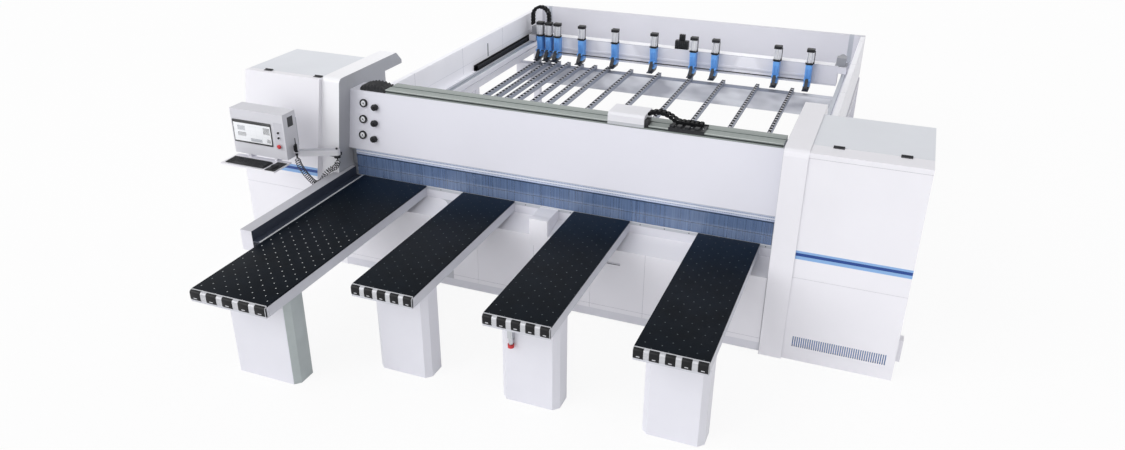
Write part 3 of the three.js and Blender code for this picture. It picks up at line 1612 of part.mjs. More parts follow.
// Curly hose from the gun, down beside the fence and up to the fitting under the bracket
const hoseStart = new THREE.Vector3(gunPlaceX, gunPlaceY, gunBottom - hoseFittingLength - seat);
const hoseEnd = new THREE.Vector3(pivotX, pivotY, bracketLow - hoseFittingLength - seat);
const hoseRoute = new THREE.CatmullRomCurve3([
  hoseStart,
  hoseStart.clone().setZ(hoseStart.z - hoseStraight),
  ...hoseBends.map(([x, y, z]) => new THREE.Vector3(pivotX + x, pivotY + y, tableHeight + z)),
  hoseEnd.clone().setZ(hoseEnd.z - hoseStraight),
  hoseEnd,
], false, 'centripetal');

// Points of the curls: a helix about the route that closes down to it at both ends
function curlPoints() {
  const count = curlCount * curlStepCount;
  const frames = hoseRoute.computeFrenetFrames(count, false);
  const lead = hoseStraight / hoseRoute.getLength();
  const points = [hoseStart];
  for (let i = 0; i <= count; i += 1) {
    const share = i / count;
    const along = lead + (1 - 2 * lead) * share;
    const angle = (2 * Math.PI * i) / curlStepCount;
    const swell = Math.min(1, share * curlCount, (1 - share) * curlCount);
    const nearest = Math.round(along * count);
    const offset = frames.normals[nearest].clone().multiplyScalar(Math.cos(angle))
      .addScaledVector(frames.binormals[nearest], Math.sin(angle));
    points.push(hoseRoute.getPointAt(along).addScaledVector(offset, curlRadius * swell));
  }
  points.push(hoseEnd);
  return points;
}

// One tube along the points, five-sided, closed at both ends
function curlyHose() {
  const points = curlPoints();
  const positions = [];
  let normal = new THREE.Vector3(1, 0, 0);
  points.forEach((point, i) => {
    const before = points[Math.max(i - 1, 0)];
    const after = points[Math.min(i + 1, points.length - 1)];
    const ahead = after.clone().sub(before).normalize();
    normal = normal.clone().addScaledVector(ahead, -normal.dot(ahead)).normalize();
    const side = ahead.clone().cross(normal);
    for (let k = 0; k < hoseSides; k += 1) {
      const angle = (2 * Math.PI * k) / hoseSides;
      const corner = point.clone().addScaledVector(normal, hoseRadius * Math.cos(angle))
        .addScaledVector(side, hoseRadius * Math.sin(angle));
      positions.push(corner.x, corner.y, corner.z);
    }
  });
  const index = [];
  for (let i = 0; i < points.length - 1; i += 1) {
    for (let k = 0; k < hoseSides; k += 1) {
      const [a, b] = [i * hoseSides + k, i * hoseSides + ((k + 1) % hoseSides)];
      index.push(a, b, b + hoseSides, a, b + hoseSides, a + hoseSides);
    }
  }
  const last = (points.length - 1) * hoseSides;
  for (let k = 1; k < hoseSides - 1; k += 1) {
    index.push(0, k + 1, k, last, last + k, last + k + 1);
  }
  const geometry = new THREE.BufferGeometry();
  geometry.setAttribute('position', new THREE.Float32BufferAttribute(positions, 3));
  geometry.setIndex(index);
  return solid(geometry);
}

// Least space between turns, from the points of the centre line
function leastCurlGap() {
  const points = curlPoints();
  let least = Infinity;
  for (let i = 0; i < points.length; i += 1) {
    for (let j = i + curlStepCount / 2; j < points.length; j += 1) {
      least = Math.min(least, points[i].distanceTo(points[j]) - 2 * hoseRadius);
    }
  }
  return least;
}
console.log('least gap between curls', leastCurlGap().toFixed(2), 'route', hoseRoute.getLength().toFixed(0));
piece(machine, 'air_hose', curlyHose(), black);

// Air preparation unit on the third leg, with a lockout knob below
const valveY = -airTables[2].legFront - seat;
function airValve() {
  const front = valveY - valvePlateThickness;
  const half = valveBodyWidth / 2;
  const centre = [valveX, front - half];
  return join([
    block([valveX - half, valveX + half], [front, valveY], [valveBodyTop - valvePlateHeight, valveBodyTop]),
    block([valveX - half, valveX + half], [front - valveBodyWidth, front + overrun],
      [valveBodyTop - valveBodyHeight, valveBodyTop]),
    rod('z', valveBowlRadius, centre, valveBodyTop - valveBodyHeight - valveBowlHeight,
      valveBodyTop + valveCapHeight, valveSides),
  ]);
}
piece(machine, 'air_valve', airValve(), grey);
const lockout = new THREE.Group();
lockout.position.set(valveX, valveY - valvePlateThickness - valveBodyWidth / 2,
  valveBodyTop - valveBodyHeight - valveBowlHeight - seat);
machine.add(lockout);
piece(lockout, 'valve_knob', rod('z', valveKnobRadius, [0, 0], -valveKnobDepth, 0, valveSides), red);

export default machine;
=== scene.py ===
# %% [markdown]
# # Beam saw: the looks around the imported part
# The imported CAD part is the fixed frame. It is imported first, because every piece below rides on one of
# its bodies and takes its place from its boxes. A beam saw is a welded and painted sheet metal machine, so
# most of its skin stays the CAD skin with a painted finish, and small bought-in things are built again in
# detail.

# %% Load the frame
import json
import math

import bpy
import numpy as np
from mathutils import Matrix, Vector


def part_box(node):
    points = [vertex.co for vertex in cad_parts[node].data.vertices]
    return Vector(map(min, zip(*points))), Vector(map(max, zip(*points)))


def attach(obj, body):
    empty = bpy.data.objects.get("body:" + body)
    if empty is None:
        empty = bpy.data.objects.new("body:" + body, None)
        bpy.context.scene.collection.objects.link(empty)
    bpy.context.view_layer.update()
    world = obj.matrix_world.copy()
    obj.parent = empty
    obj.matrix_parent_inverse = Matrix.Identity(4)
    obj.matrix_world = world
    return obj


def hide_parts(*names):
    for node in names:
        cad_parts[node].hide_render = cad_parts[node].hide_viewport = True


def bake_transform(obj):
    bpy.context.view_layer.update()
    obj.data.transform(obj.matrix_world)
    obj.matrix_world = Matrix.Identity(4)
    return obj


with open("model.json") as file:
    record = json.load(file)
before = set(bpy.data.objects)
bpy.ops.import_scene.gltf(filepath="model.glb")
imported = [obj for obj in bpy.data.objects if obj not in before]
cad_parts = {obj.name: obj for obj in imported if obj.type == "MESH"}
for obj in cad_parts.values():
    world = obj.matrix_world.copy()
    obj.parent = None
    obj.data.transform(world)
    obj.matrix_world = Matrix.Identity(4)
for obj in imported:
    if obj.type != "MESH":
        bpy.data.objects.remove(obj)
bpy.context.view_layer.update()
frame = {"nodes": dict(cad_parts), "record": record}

MM = 0.001

# %% [markdown]
# ## Camera
# The picture was taken from in front, right of the middle and high up. The camera is placed by three
# angles: it turns by yaw about the vertical, tips down by pitch and leans a little by roll.

# %% Camera
CAMERA_AT = Vector((2.9572, -7.3656, 4.5927))
YAW, PITCH, ROLL = 0.3690, -0.4564, 0.0093
LENS, SENSOR = 28.36, 36.0

ahead = Vector((-math.sin(YAW) * math.cos(PITCH), math.cos(YAW) * math.cos(PITCH), math.sin(PITCH)))
level = Vector((math.cos(YAW), math.sin(YAW), 0.0))
upward = level.cross(ahead)
side = level * math.cos(ROLL) + upward * math.sin(ROLL)
top = upward * math.cos(ROLL) - level * math.sin(ROLL)
lens = bpy.data.cameras.new("camera")
lens.lens, lens.sensor_width, lens.sensor_fit, lens.clip_end = LENS, SENSOR, "HORIZONTAL", 200.0
lens.dof.use_dof = False
camera = bpy.data.objects.new("camera", lens)
bpy.context.scene.collection.objects.link(camera)
camera.matrix_world = Matrix.LocRotScale(
    CAMERA_AT, Matrix((side, top, -ahead)).transposed().to_quaternion(), None)
bpy.context.scene.camera = camera
print("camera looks along", [round(x, 3) for x in ahead])

# %% [markdown]
# ## Skins
# Each piece is a set of points and the faces between them, worked out as whole arrays. A part here is a
# pair: an array of points, and a list of face arrays in which each row is one face. Three makers are enough
# for a machine: rings of points carried along an axis or a path, a turned profile, and a flat outline with
# rounded edges. Repeats are one part laid out at many places at once.


# %% Skins from rings
def grid_faces(rows, columns, close_rows=False):
    """Faces of a grid of points (i, j) with number i * columns + j, closed round the columns."""
    i = np.arange(rows if close_rows else rows - 1)[:, None]
    j = np.arange(columns)[None, :]
    i2, j2 = (i + 1) % rows, (j + 1) % columns
    faces = np.stack([i * columns + j, i * columns + j2, i2 * columns + j2, i2 * columns + j], -1)
    return faces.reshape(-1, 4)


def skin(rings, loop=False):
    """Closed skin through rings of points, shape (rows, columns, 3), with a flat face over each end."""
    rings = np.asarray(rings, float)
    rows, columns, _ = rings.shape
    faces = [grid_faces(rows, columns, loop)]
    if not loop:
        last = (rows - 1) * columns
        faces.append(np.vstack([np.arange(columns)[::-1], last + np.arange(columns)]))
    return rings.reshape(-1, 3), faces


def together(*parts):
    """Several parts as one part."""
    points, faces, start = [], [], 0
    for some, theirs in parts:
        points.append(some)
        faces += [face + start for face in theirs]
        start += len(some)
    return np.vstack(points), faces


def repeated(part, places, turns=None):
    """The part at every place of an array (k, 3), turned before by the matrices of turns, (k, 3, 3)."""
    points, faces = part
    places = np.asarray(places, float).reshape(-1, 3)
    turned = points[None] if turns is None else np.einsum("kab,nb->kna", turns, points)
    step = len(points) * np.arange(len(places))[:, None, None]
    return (turned + places[:, None]).reshape(-1, 3), [
        (face[None] + step).reshape(-1, face.shape[1]) for face in faces]


def along_x(places):
    """Places (k, 3) at distances along x."""
    places = np.asarray(places, float)
    return np.stack([places, 0 * places, 0 * places], -1)


AXES = {"x": (1, 2, 0), "y": (2, 0, 1), "z": (0, 1, 2)}


def on_axis(axis, across, along):
    """Points from two coordinates across an axis and one along it: x holds (y, z), y (z, x), z (x, y)."""
    a, b, c = AXES[axis]
    across, along = np.broadcast_arrays(across, np.asarray(along)[..., None])
    points = np.empty(across.shape[:-1] + (3,))
    points[..., a], points[..., b], points[..., c] = across[..., 0], across[..., 1], along[..., 0]
    return points


def inset(outline, by):
    """A closed outline (n, 2), anticlockwise, moved in by a distance square to its edges."""
    edge = np.roll(outline, -1, 0) - outline
    out = np.stack([edge[:, 1], -edge[:, 0]], -1) / np.linalg.norm(edge, axis=1)[:, None]
    before = np.roll(out, 1, 0)
    return outline - by * (out + before) / (1 + (out * before).sum(1))[:, None]


def plate(axis, outline, low, high, edge=0.0, steps=3):
    """A flat outline between two heights on an axis, its rims rounded: at turn a the ring is moved in by
    edge (1 - sin a) and stands edge (1 - cos a) above the end."""
    outline = np.asarray(outline, float)
    if edge <= 0:
        return skin(np.stack([on_axis(axis, outline, low), on_axis(axis, outline, high)]))
    turn = np.linspace(0, math.pi / 2, steps)
    rings = [on_axis(axis, inset(outline, edge * (1 - math.sin(a))), low + edge * (1 - math.cos(a)))
             for a in turn]
    rings += [on_axis(axis, inset(outline, edge * (1 - math.sin(a))), high - edge * (1 - math.cos(a)))
              for a in turn[::-1]]
    return skin(np.stack(rings))


def rounded(width, depth, radius, steps=4, centre=(0.0, 0.0)):
    """Outline of a rectangle with round corners: each corner is a quarter circle of the radius."""
    turn = np.linspace(0, math.pi / 2, steps)
    corners = [((sx * (width / 2 - radius), sy * (depth / 2 - radius)), start) for sx, sy, start in
               ((1, 1, 0.0), (-1, 1, math.pi / 2), (-1, -1, math.pi), (1, -1, 1.5 * math.pi))]
    arcs = [np.array(middle) + radius * np.stack([np.cos(start + turn), np.sin(start + turn)], -1)
            for middle, start in corners]
    return np.vstack(arcs) + np.asarray(centre, float)


def brick(low, high, radius=0.0, edge=0.0, axis="z", steps=3):
    """A box from corner to corner with round upright corners and rounded rims."""
    low, high = np.asarray(low, float), np.asarray(high, float)
    a, b, c = AXES[axis]
    width, depth = high[a] - low[a], high[b] - low[b]
    middle = ((low[a] + high[a]) / 2, (low[b] + high[b]) / 2)
    outline = rounded(width, depth, max(radius, 1e-5 + edge), steps, middle)
    return plate(axis, outline, low[c], high[c], edge, steps)


def circle(radius, sides, centre=(0.0, 0.0), start=0.0):
    """Outline of a circle with an even number of points."""
    angle = start + 2 * math.pi * np.arange(sides) / sides
    return np.asarray(centre, float) + radius * np.stack([np.cos(angle), np.sin(angle)], -1)


def turned(axis, profile, centre=(0.0, 0.0), sides=24, loop=False):
    """A turned piece: each (radius, height) of the profile is a circle about the axis. A loop is a profile
    that comes back to its start, so it makes a ring."""
    return skin(np.stack([on_axis(axis, circle(radius, sides, centre), height)
                          for radius, height in profile]), loop)


def steps_of(line):
    """Distance from each point of a line to the next."""
    return np.linalg.norm(np.diff(line, axis=0), axis=1)


def frames_along(line):
    """Unit tangents and two unit normals at every point of a line, carried on without twist."""
    tangent = np.gradient(line, axis=0)
    tangent /= np.linalg.norm(tangent, axis=1)[:, None]
    first = np.cross(tangent[0], (0, 0, 1) if abs(tangent[0][2]) < 0.9 else (1, 0, 0))
    normals = [first / np.linalg.norm(first)]
    for t in tangent[1:]:
        n = normals[-1] - t * (normals[-1] @ t)
        normals.append(n / np.linalg.norm(n))
    normals = np.array(normals)
    return tangent, normals, np.cross(tangent, normals)


def swept(outline, line, loop=False):
    """An outline (n, 2), or one for each point (k, n, 2), carried along a line (k, 3)."""
    line = np.asarray(line, float)
    _, normal, binormal = frames_along(line)
    outline = np.broadcast_to(outline, (len(line),) + np.shape(outline)[-2:])
    rings = line[:, None] + outline[..., :1] * normal[:, None] + outline[..., 1:] * binormal[:, None]
    return skin(rings, loop)


def shape(name, part, material, smooth=35.0):
    """Makes a part, in millimetres, a mesh object with a finish."""
    points, faces = part
    mesh = bpy.data.meshes.new(name)
    mesh.vertices.add(len(points))
    mesh.vertices.foreach_set("co", (np.asarray(points) * MM).astype(np.float32).ravel())
    sizes = np.concatenate([np.full(len(face), face.shape[1]) for face in faces])
    corners = np.concatenate([face.ravel() for face in faces]).astype(np.int32)
    mesh.loops.add(len(corners))
    mesh.loops.foreach_set("vertex_index", corners)
    mesh.polygons.add(len(sizes))
    mesh.polygons.foreach_set("loop_start", np.concatenate([[0], np.cumsum(sizes)[:-1]]).astype(np.int32))
    mesh.update(calc_edges=True)
    mesh.validate()
    mesh.shade_smooth()
    mesh.set_sharp_from_angle(angle=math.radians(smooth))
    made = bpy.data.objects.new(name, mesh)
    bpy.context.scene.collection.objects.link(made)
    mesh.materials.append(finishes[material])
    return made


def piece(name, part, material, body, replaces=(), smooth=35.0):
    """A shape that rides on a body, has a finish and may stand for CAD nodes."""
    made = shape(name, part, material, smooth)
    if body:
        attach(made, body)
    if replaces:
        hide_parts(*replaces)
    return made


def span(node):
    """Lowest and highest corner of a CAD node in millimetres."""
    return [np.array(corner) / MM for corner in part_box(node)]


print("a rounded brick has", len(brick((0, 0, 0), (1, 1, 1), 0.1, 0.02)[0]), "points")

# %% [markdown]
# ## Curly hose of the air gun
# A polyurethane hose is wound hot on a mandrel, so that it springs back. It leaves the gun, sags beside the
# fence and comes up to a fitting under the bracket. The route is a smooth curve through a few points, and
# the hose is a helix about it: at turn angle a its centre stands off the route by swell R (n cos a + b sin
# a).

# %% Hose route
HOSE_START, HOSE_END = (-2363, -800, 1352.7), (-2165, -430, 1221.4)
HOSE_BENDS = [(-2366, -778, 1270), (-2350, -700, 1120), (-2330, -610, 1010), (-2316, -540, 1000),
              (-2298, -480, 1060), (-2250, -452, 1110), (-2195, -438, 1140)]
HOSE_RADIUS, CURL_RADIUS, CURLS, LEAD = 4.0, 25.0, 32, 10.0
KNOT_STEPS, CURL_STEPS = 40, 24


def between(now, t0, t1, p0, p1):
    """Where the straight line from p0 at time t0 to p1 at time t1 is now."""
    return ((t1 - now) * p0 + (now - t0) * p1) / (t1 - t0)


def smooth_route(knots, steps):
    """Centripetal Catmull-Rom curve: between knots p1 and p2 it mixes the straight lines through four knots,
    with times t that grow by the square root of each distance."""
    knots = np.asarray(knots, float)
    knots = np.vstack([2 * knots[0] - knots[1], knots, 2 * knots[-1] - knots[-2]])
    t = np.concatenate([[0], np.cumsum(np.sqrt(steps_of(knots)))])
    share = np.linspace(0, 1, steps, endpoint=False)[:, None]
    spans = []
    for i in range(1, len(knots) - 2):
        p, q = knots[i - 1:i + 3], t[i - 1:i + 3]
        now = q[1] + share * (q[2] - q[1])
        first = [between(now, q[k], q[k + 1], p[k], p[k + 1]) for k in range(3)]
        second = [between(now, q[k], q[k + 2], first[k], first[k + 1]) for k in range(2)]
        spans.append(between(now, q[1], q[2], *second))
    return np.vstack(spans + [knots[-2:-1]])


def evenly(line, count):
    """The line with its points laid out again at equal lengths."""
    run = np.concatenate([[0], np.cumsum(steps_of(line))])
    at = np.linspace(0, run[-1], count)
    return np.stack([np.interp(at, run, line[:, k]) for k in range(3)], -1)


drop = np.array((0, 0, -LEAD))
knots = [HOSE_START, HOSE_START + drop, *HOSE_BENDS, HOSE_END + drop, HOSE_END]
route = evenly(smooth_route(knots, KNOT_STEPS), CURLS * CURL_STEPS + 1)
share = np.linspace(0, 1, len(route))
_, normal, binormal = frames_along(route)
swell = np.minimum(1, np.minimum(share * CURLS, (1 - share) * CURLS))[:, None]
angle = (2 * math.pi * CURLS * share)[:, None]
hose_line = route + CURL_RADIUS * swell * (normal * np.cos(angle) + binormal * np.sin(angle))
hose_length, route_length = (MM * float(steps_of(path).sum()) for path in (hose_line, route))
print("hose length", round(hose_length, 3), "m on a route of", round(route_length, 3), "m")

# %% [markdown]
# ## Shader wires
# A pattern such as a row of slots or a field of air valves is a formula in the part's own millimetres. A
# wire is one output socket of a shader tree, and it takes part in sums as a number does, so that a material
# reads as its formula.


# %% Shader wires
class Wire:
    """One output socket. + - * / with numbers and wires give new wires; node() adds any other node."""

    def __init__(self, tree, socket):
        self.tree, self.socket = tree, socket

    def node(self, kind, sockets=None, output=0, **settings):
        """A node of any type, with its settings, and its sockets as {name or number: value or wire}."""
        made = self.tree.nodes.new("ShaderNode" + kind)
        for key, value in settings.items():
            setattr(made, key, value)
        for key, value in (sockets or {}).items():
            if isinstance(value, Wire):
                self.tree.links.new(value.socket, made.inputs[key])
            else:
                made.inputs[key].default_value = value
        return Wire(self.tree, made.outputs[output])

    def calc(self, operation, *values):
        """A math node, or a vector math node where one of the values is a colour or a vector."""
        kinds = [v.socket.type for v in values if isinstance(v, Wire)]
        if "VECTOR" in kinds or "RGBA" in kinds:
            values = [v if isinstance(v, Wire) or np.ndim(v) else (v, v, v) for v in values]
            return self.node("VectorMath", dict(enumerate(values)), operation=operation)
        return self.node("Math", dict(enumerate(values)), operation=operation)

    def one(self, operation):
        """A math node of this wire alone, such as FRACT, FLOOR, SQRT or ABSOLUTE."""
        return self.calc(operation, self)

    def __add__(self, other):
        return self.calc("ADD", self, other)

    def __radd__(self, other):
        return self.calc("ADD", other, self)

    def __sub__(self, other):
        return self.calc("SUBTRACT", self, other)

    def __rsub__(self, other):
        return self.calc("SUBTRACT", other, self)

    def __mul__(self, other):
        return self.calc("MULTIPLY", self, other)

    def __rmul__(self, other):
        return self.calc("MULTIPLY", other, self)

    def __truediv__(self, other):
        return self.calc("DIVIDE", self, other)

    def __gt__(self, other):
        return self.calc("GREATER_THAN", self, other)

    def __lt__(self, other):
        return self.calc("LESS_THAN", self, other)

    def within(self, low, high):
        """1 between two values, else 0."""
        return (self > low) * (self < high)

    def phase(self, pitch, start=0.0):
        """How far a value is past the last multiple of a pitch, as a share of the pitch."""
        return ((self - start) / pitch).one("FRACT")

    def mix(self, low, high):
        """Colour between two colours, self as the share of the second."""
        return self.node("Mix", {0: self, 6: low, 7: high}, 2, data_type="RGBA")

    def ramp(self, low, high, to_low=0.0, to_high=1.0):
        """self mapped from one span to another, held at its ends."""
        return self.node("MapRange", {0: self, 1: low, 2: high, 3: to_low, 4: to_high})


def colour(red, green, blue):
    """A display colour from 0 to 255 as linear light: ((c + 0.055) / 1.055) ^ 2.4 above 0.04045."""
    share = np.array((red, green, blue)) / 255
    light = np.where(share > 0.04045, ((share + 0.055) / 1.055) ** 2.4, share / 12.92)
    return (*map(float, light), 1.0)


class Finish:
    """A material with its surface shader, and the wires that its pattern starts from."""

    def __init__(self, name, base, roughness=0.4, metallic=0.0, **constants):
        self.material = bpy.data.materials.new(name)
        self.material.use_nodes = True
        self.tree = self.material.node_tree
        self.surface = self.tree.nodes["Principled BSDF"]
        self.any = Wire(self.tree, None)
        self.at = self.any.node("TexCoord", output="Object")
        xyz = self.any.node("SeparateXYZ", {0: self.at}).socket.node
        self.x, self.y, self.z = (Wire(self.tree, out) * (1 / MM) for out in xyz.outputs)
        self.base, self.roughness = base, roughness
        self.set("Base Color", base)
        self.set("Roughness", roughness)
        self.set("Metallic", metallic)
        for key, value in constants.items():
            self.set(key.replace("_", " "), value)
        finishes[name] = self.material

    def set(self, key, value):
        if isinstance(value, Wire):
            self.tree.links.new(value.socket, self.surface.inputs[key])
        else:
            self.surface.inputs[key].default_value = value

    def noise(self, size, detail=3.0, stretch=(1, 1, 1)):
        """Cloudy noise from 0 to 1: features of about a size in millimetres, longer where stretch is more."""
        scale = tuple(1 / (MM * size * s) for s in stretch)
        return self.any.node("TexNoise", {"Vector": self.at * scale, "Scale": 1.0, "Detail": detail})

    def mottle(self, share, size, base=None):
        """The base colour, a little lighter and darker in clouds."""
        base = base or self.base
        dark = tuple(c * (1 - share) for c in base[:3]) + (1.0,)
        light = tuple(min(1.0, c * (1 + share)) for c in base[:3]) + (1.0,)
        return self.noise(size).ramp(0.3, 0.7).mix(dark, light)

    def wear(self, share, size, stretch=(1, 1, 1)):
        """Roughness that wanders by a share."""
        self.set("Roughness", self.noise(size, 4.0, stretch).ramp(
            0.25, 0.75, self.roughness * (1 - share), min(1.0, self.roughness * (1 + share))))

    def layers(self, ground, *layers):
        """Base colour from a ground and (mask, colour) layers on it, the last one uppermost."""
        for mask, over in layers:
            ground = mask.mix(ground, over)
        self.set("Base Color", ground)

    def bump(self, height, depth=0.4):
        """Relief of a height wire, in millimetres at height 1."""
        self.set("Normal", self.any.node("Bump", {"Strength": 1.0, "Distance": depth * MM, "Height": height}))


finishes, special = {}, {}

# %% [markdown]
# ## Finishes
# The housings are powder coated, so their roughness wanders with the orange peel of the coat. Bare metal is
# ground or drawn and shows fine lines along its length. The tables carry a dark laminate with rows of small
# air valves. A finish reads the part's own place. Most are named for the record's material slots, and
# special names the CAD nodes that take another one.

# %% Painted, plastic and metal finishes
PAINT = colour(236, 235, 241)


def painted(name, base, roughness=0.42, peel=6.0):
    """Powder coat: clouds in the colour, and a fine peel in the relief."""
    made = Finish(name, base, roughness)
    made.set("Base Color", made.mottle(0.012, 420.0))
    made.wear(0.12, 260.0)
    made.bump(made.noise(peel, 1.0), 0.05)
    return made


def moulded(name, base, roughness=0.5, grain=2.5, depth=0.06, **constants):
    """Moulded plastic or rubber: a fine grain, and finger marks in the roughness."""
    made = Finish(name, base, roughness, **constants)
    made.set("Base Color", made.mottle(0.12, 60.0))
    made.wear(0.2, 45.0)
    made.bump(made.noise(grain, 2.0), depth)
    return made


def drawn(name, base, roughness=0.32, axis=0, metallic=0.85):
    """Drawn or ground metal: the noise is long along one axis."""
    made = Finish(name, base, roughness, metallic)
    stretch = tuple(60.0 if k == axis else 1.0 for k in range(3))
    lines = made.noise(9.0, 4.0, stretch)
    low, high = (tuple(c * s for c in base[:3]) + (1.0,) for s in (0.9, 1.05))
    made.set("Base Color", lines.ramp(0.3, 0.7).mix(low, high))
    made.set("Roughness", lines.ramp(0.25, 0.75, roughness * 0.75, roughness * 1.3))
    made.bump(lines, 0.03)
    return made


painted("painted_white", PAINT)
painted("painted_grey", colour(220, 220, 228), 0.5)
painted("pale_metal", colour(214, 214, 219), 0.4)
drawn("machined_steel", colour(190, 193, 198), 0.35)
drawn("blade_steel", colour(196, 198, 202), 0.25, axis=2)
drawn("valve_metal", colour(196, 198, 202), 0.35, axis=2)
drawn("chrome", colour(232, 233, 237), 0.3, axis=2, metallic=0.7)
drawn("black_steel", colour(40, 41, 45), 0.45, axis=2, metallic=0.4)
moulded("black_rubber", colour(34, 35, 38), 0.75, 3.0, 0.1)
moulded("black_plastic", colour(22, 23, 27), 0.45, Specular_IOR_Level=0.3)
moulded("chain_plastic", colour(14, 15, 18), 0.6, Specular_IOR_Level=0.15)
moulded("nose_rubber", colour(13, 14, 18), 0.38, Specular_IOR_Level=0.25)
moulded("black_hose", colour(24, 25, 28), 0.35)
moulded("red_plastic", colour(196, 40, 44), 0.35)
print(len(finishes), "finishes")

# %% [markdown]
# ## Air tables
# The dark tops are drilled in staggered rows, and every hole holds a small ball valve that a panel pushes
# down, so that air comes out below the panel only. In the colour the valves are light dots: in rows one
# step apart, each second row half a pitch along, a dot is where the nearest node is less than its radius
# away. Near the front of the first table the balls carry a painted glint, and elsewhere they are grey in
# random tones. The laminate turns blue towards the curtain, a painted reflection of the curtain.

# %% Air table finish
TABLE_BLACK = colour(10, 17, 25)
VALVE_PITCH, VALVE_STEP, VALVE_RADIUS, VALVE_RIM = 130.0, 63.0, 5.2, 8.0
GLINT_END, GLINT_BACK, TOP_LEVEL = -1320.0, -1250.0, 959.5


def air_table(name):
    """Dark laminate with the field of air valves: r = distance to the nearest node of the staggered grid."""
    made = Finish(name, TABLE_BLACK, 0.4, Specular_IOR_Level=0.06)
    row = (made.y / VALVE_STEP).one("FLOOR")
    odd = (row / 2).one("FRACT") * VALVE_PITCH
    u = (made.x + odd).phase(VALVE_PITCH) - 0.5
    v = (made.y.phase(VALVE_STEP) - 0.5) * (VALVE_STEP / VALVE_PITCH)
    r = (u * u + v * v).one("SQRT") * VALVE_PITCH
    flat = made.z > TOP_LEVEL
    ball, rim = (r < VALVE_RADIUS) * flat, (r < VALVE_RIM) * flat
    # painted reflection: the laminate is painted bluer towards the curtain, standing in for the curtain's
    # reflection
    curtain_reflection = made.y.ramp(-1000.0, -145.0)
    laminate_and_reflection = (curtain_reflection * curtain_reflection).mix(made.mottle(0.25, 240.0), colour(22, 38, 58))
    ball_tone = made.noise(300.0).ramp(0.4, 0.7).mix(colour(66, 76, 82), colour(108, 118, 122))
    # painted glint: the balls near the front of the first table are painted bright
    shine = (made.x < GLINT_END) * (made.y < GLINT_BACK) * made.noise(420.0).ramp(0.35, 0.55, 0.25, 1.0)
    metal = shine.mix(ball_tone, colour(236, 240, 242))
    made.layers(laminate_and_reflection, (rim, colour(9, 11, 14)), (ball, metal))
    made.set("Roughness", ball.ramp(0, 1, 0.44, 0.3))
    made.bump(rim * -1.0 + ball * 1.5 + made.noise(2.0, 2.0) * 0.05, 1.0)
    return made


air_table("black_table")

# %% [markdown]
# ## The hose itself
# The hose bends as the console swings, but here it is one fixed shape. Its length is worked out along its
# line, and both of its ends go back into the object.

# %% Hose
hose = piece("curly_hose", swept(circle(HOSE_RADIUS, 10), hose_line), "black_hose", None,
             replaces=["air_hose"])
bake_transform(hose)
hose_line[0] * MM
hose_line * MM

# %% [markdown]
# ## Tables
# Each top is a laminate plate with a slightly broken edge and a bright trim along its front. Before the
# trim stands a round nose: black rollers, which let a panel slide up onto the table, with pale sleeves
# between them and a pale plate at each end. Roller, sleeve and plate are one outline with two round
# corners, at three sizes.

# %% Table tops and nose blocks
NOSE_COUNT, NOSE_SHARE, NOSE_DEPTH, NOSE_RADIUS, NOSE_GAP = 5, 0.136, 24.0, 23.0, 0.3
NOSE_FOOT, NOSE_DROP = 10.0, 4.0
TRIM_DEPTH, END_PLATE, LAMINATE = 9.0, 3.0, 15.0


def nose_outline(low, high, inward):
    """(y, z) of the nose: quarter circles round its lower and upper front corners, moved in by a distance."""
    front, back = low[1] + inward, low[1] + NOSE_DEPTH - NOSE_GAP
    bottom, top = low[2] + NOSE_FOOT + inward, high[2] - NOSE_DROP - inward
    radius = NOSE_RADIUS - inward
    turn = np.linspace(0, math.pi / 2, 7)
    upper = np.stack([front + radius - radius * np.sin(turn), top - radius + radius * np.cos(turn)], -1)
    lower = np.stack([front + radius - radius * np.cos(turn), bottom + radius - radius * np.sin(turn)], -1)
    return np.vstack([[(back, bottom), (back, top)], upper, lower])


drawn("sleeve_metal", colour(196, 197, 202), 0.4, axis=0, metallic=0.3)
for i in range(1, 5):
    low, high = span(f"table_top_{i}")
    near = low[1] + NOSE_DEPTH
    plate_low = high[2] - LAMINATE
    top = brick((low[0], near + TRIM_DEPTH, plate_low), high, 4.0, 1.5)
    piece(f"table_top_skin_{i}", top, "black_table", "machine", replaces=[f"table_top_{i}"])
    bar = brick((low[0], near, plate_low), (high[0], near + TRIM_DEPTH - 0.2, high[2] - 0.3), 2.0, 1.2)
    width = high[0] - low[0] - 2 * END_PLATE
    size = width * NOSE_SHARE
    pitch = (width - size) / (NOSE_COUNT - 1)
    block = plate("x", nose_outline(low, high, 0.0), 0.0, size, 2.0, 4)
    starts = low[0] + END_PLATE + pitch * np.arange(NOSE_COUNT)
    places = along_x(starts)
    piece(f"nose_blocks_{i}", repeated(block, places), "nose_rubber", "machine")
    clip = brick((size * 0.32, low[1] - 1.4, low[2] + 34), (size * 0.68, low[1] + 1.0, low[2] + 42),
                 3.0, 0.7, "y")
    sleeve = nose_outline(low, high, 3.0)
    bars = [plate("x", sleeve, starts[k] + size + 0.4, starts[k + 1] - 0.4, 0.8, 2)
            for k in range(NOSE_COUNT - 1)]
    ends = [plate("x", nose_outline(low, high, 0.5), x, x + END_PLATE - 0.3, 0.6, 2)
            for x in (low[0], high[0] - END_PLATE + 0.3)]
    piece(f"nose_bar_{i}", together(bar, repeated(clip, places), *bars, *ends), "sleeve_metal", "machine")
print("nose blocks", NOSE_COUNT, "a table")

# %% [markdown]
# ## Curtain
# A band of pale plastic clips under the beam's cover, pierced with two rows of slots. Clear blue PVC strips
# hang from it and keep splinters and fingers apart. They are cut from flat sheet, and each one hangs with a
# little bow and turn of its own, so the light catches them one by one. Their tops are darker in the shade of
# the band, and a dark line runs across them.

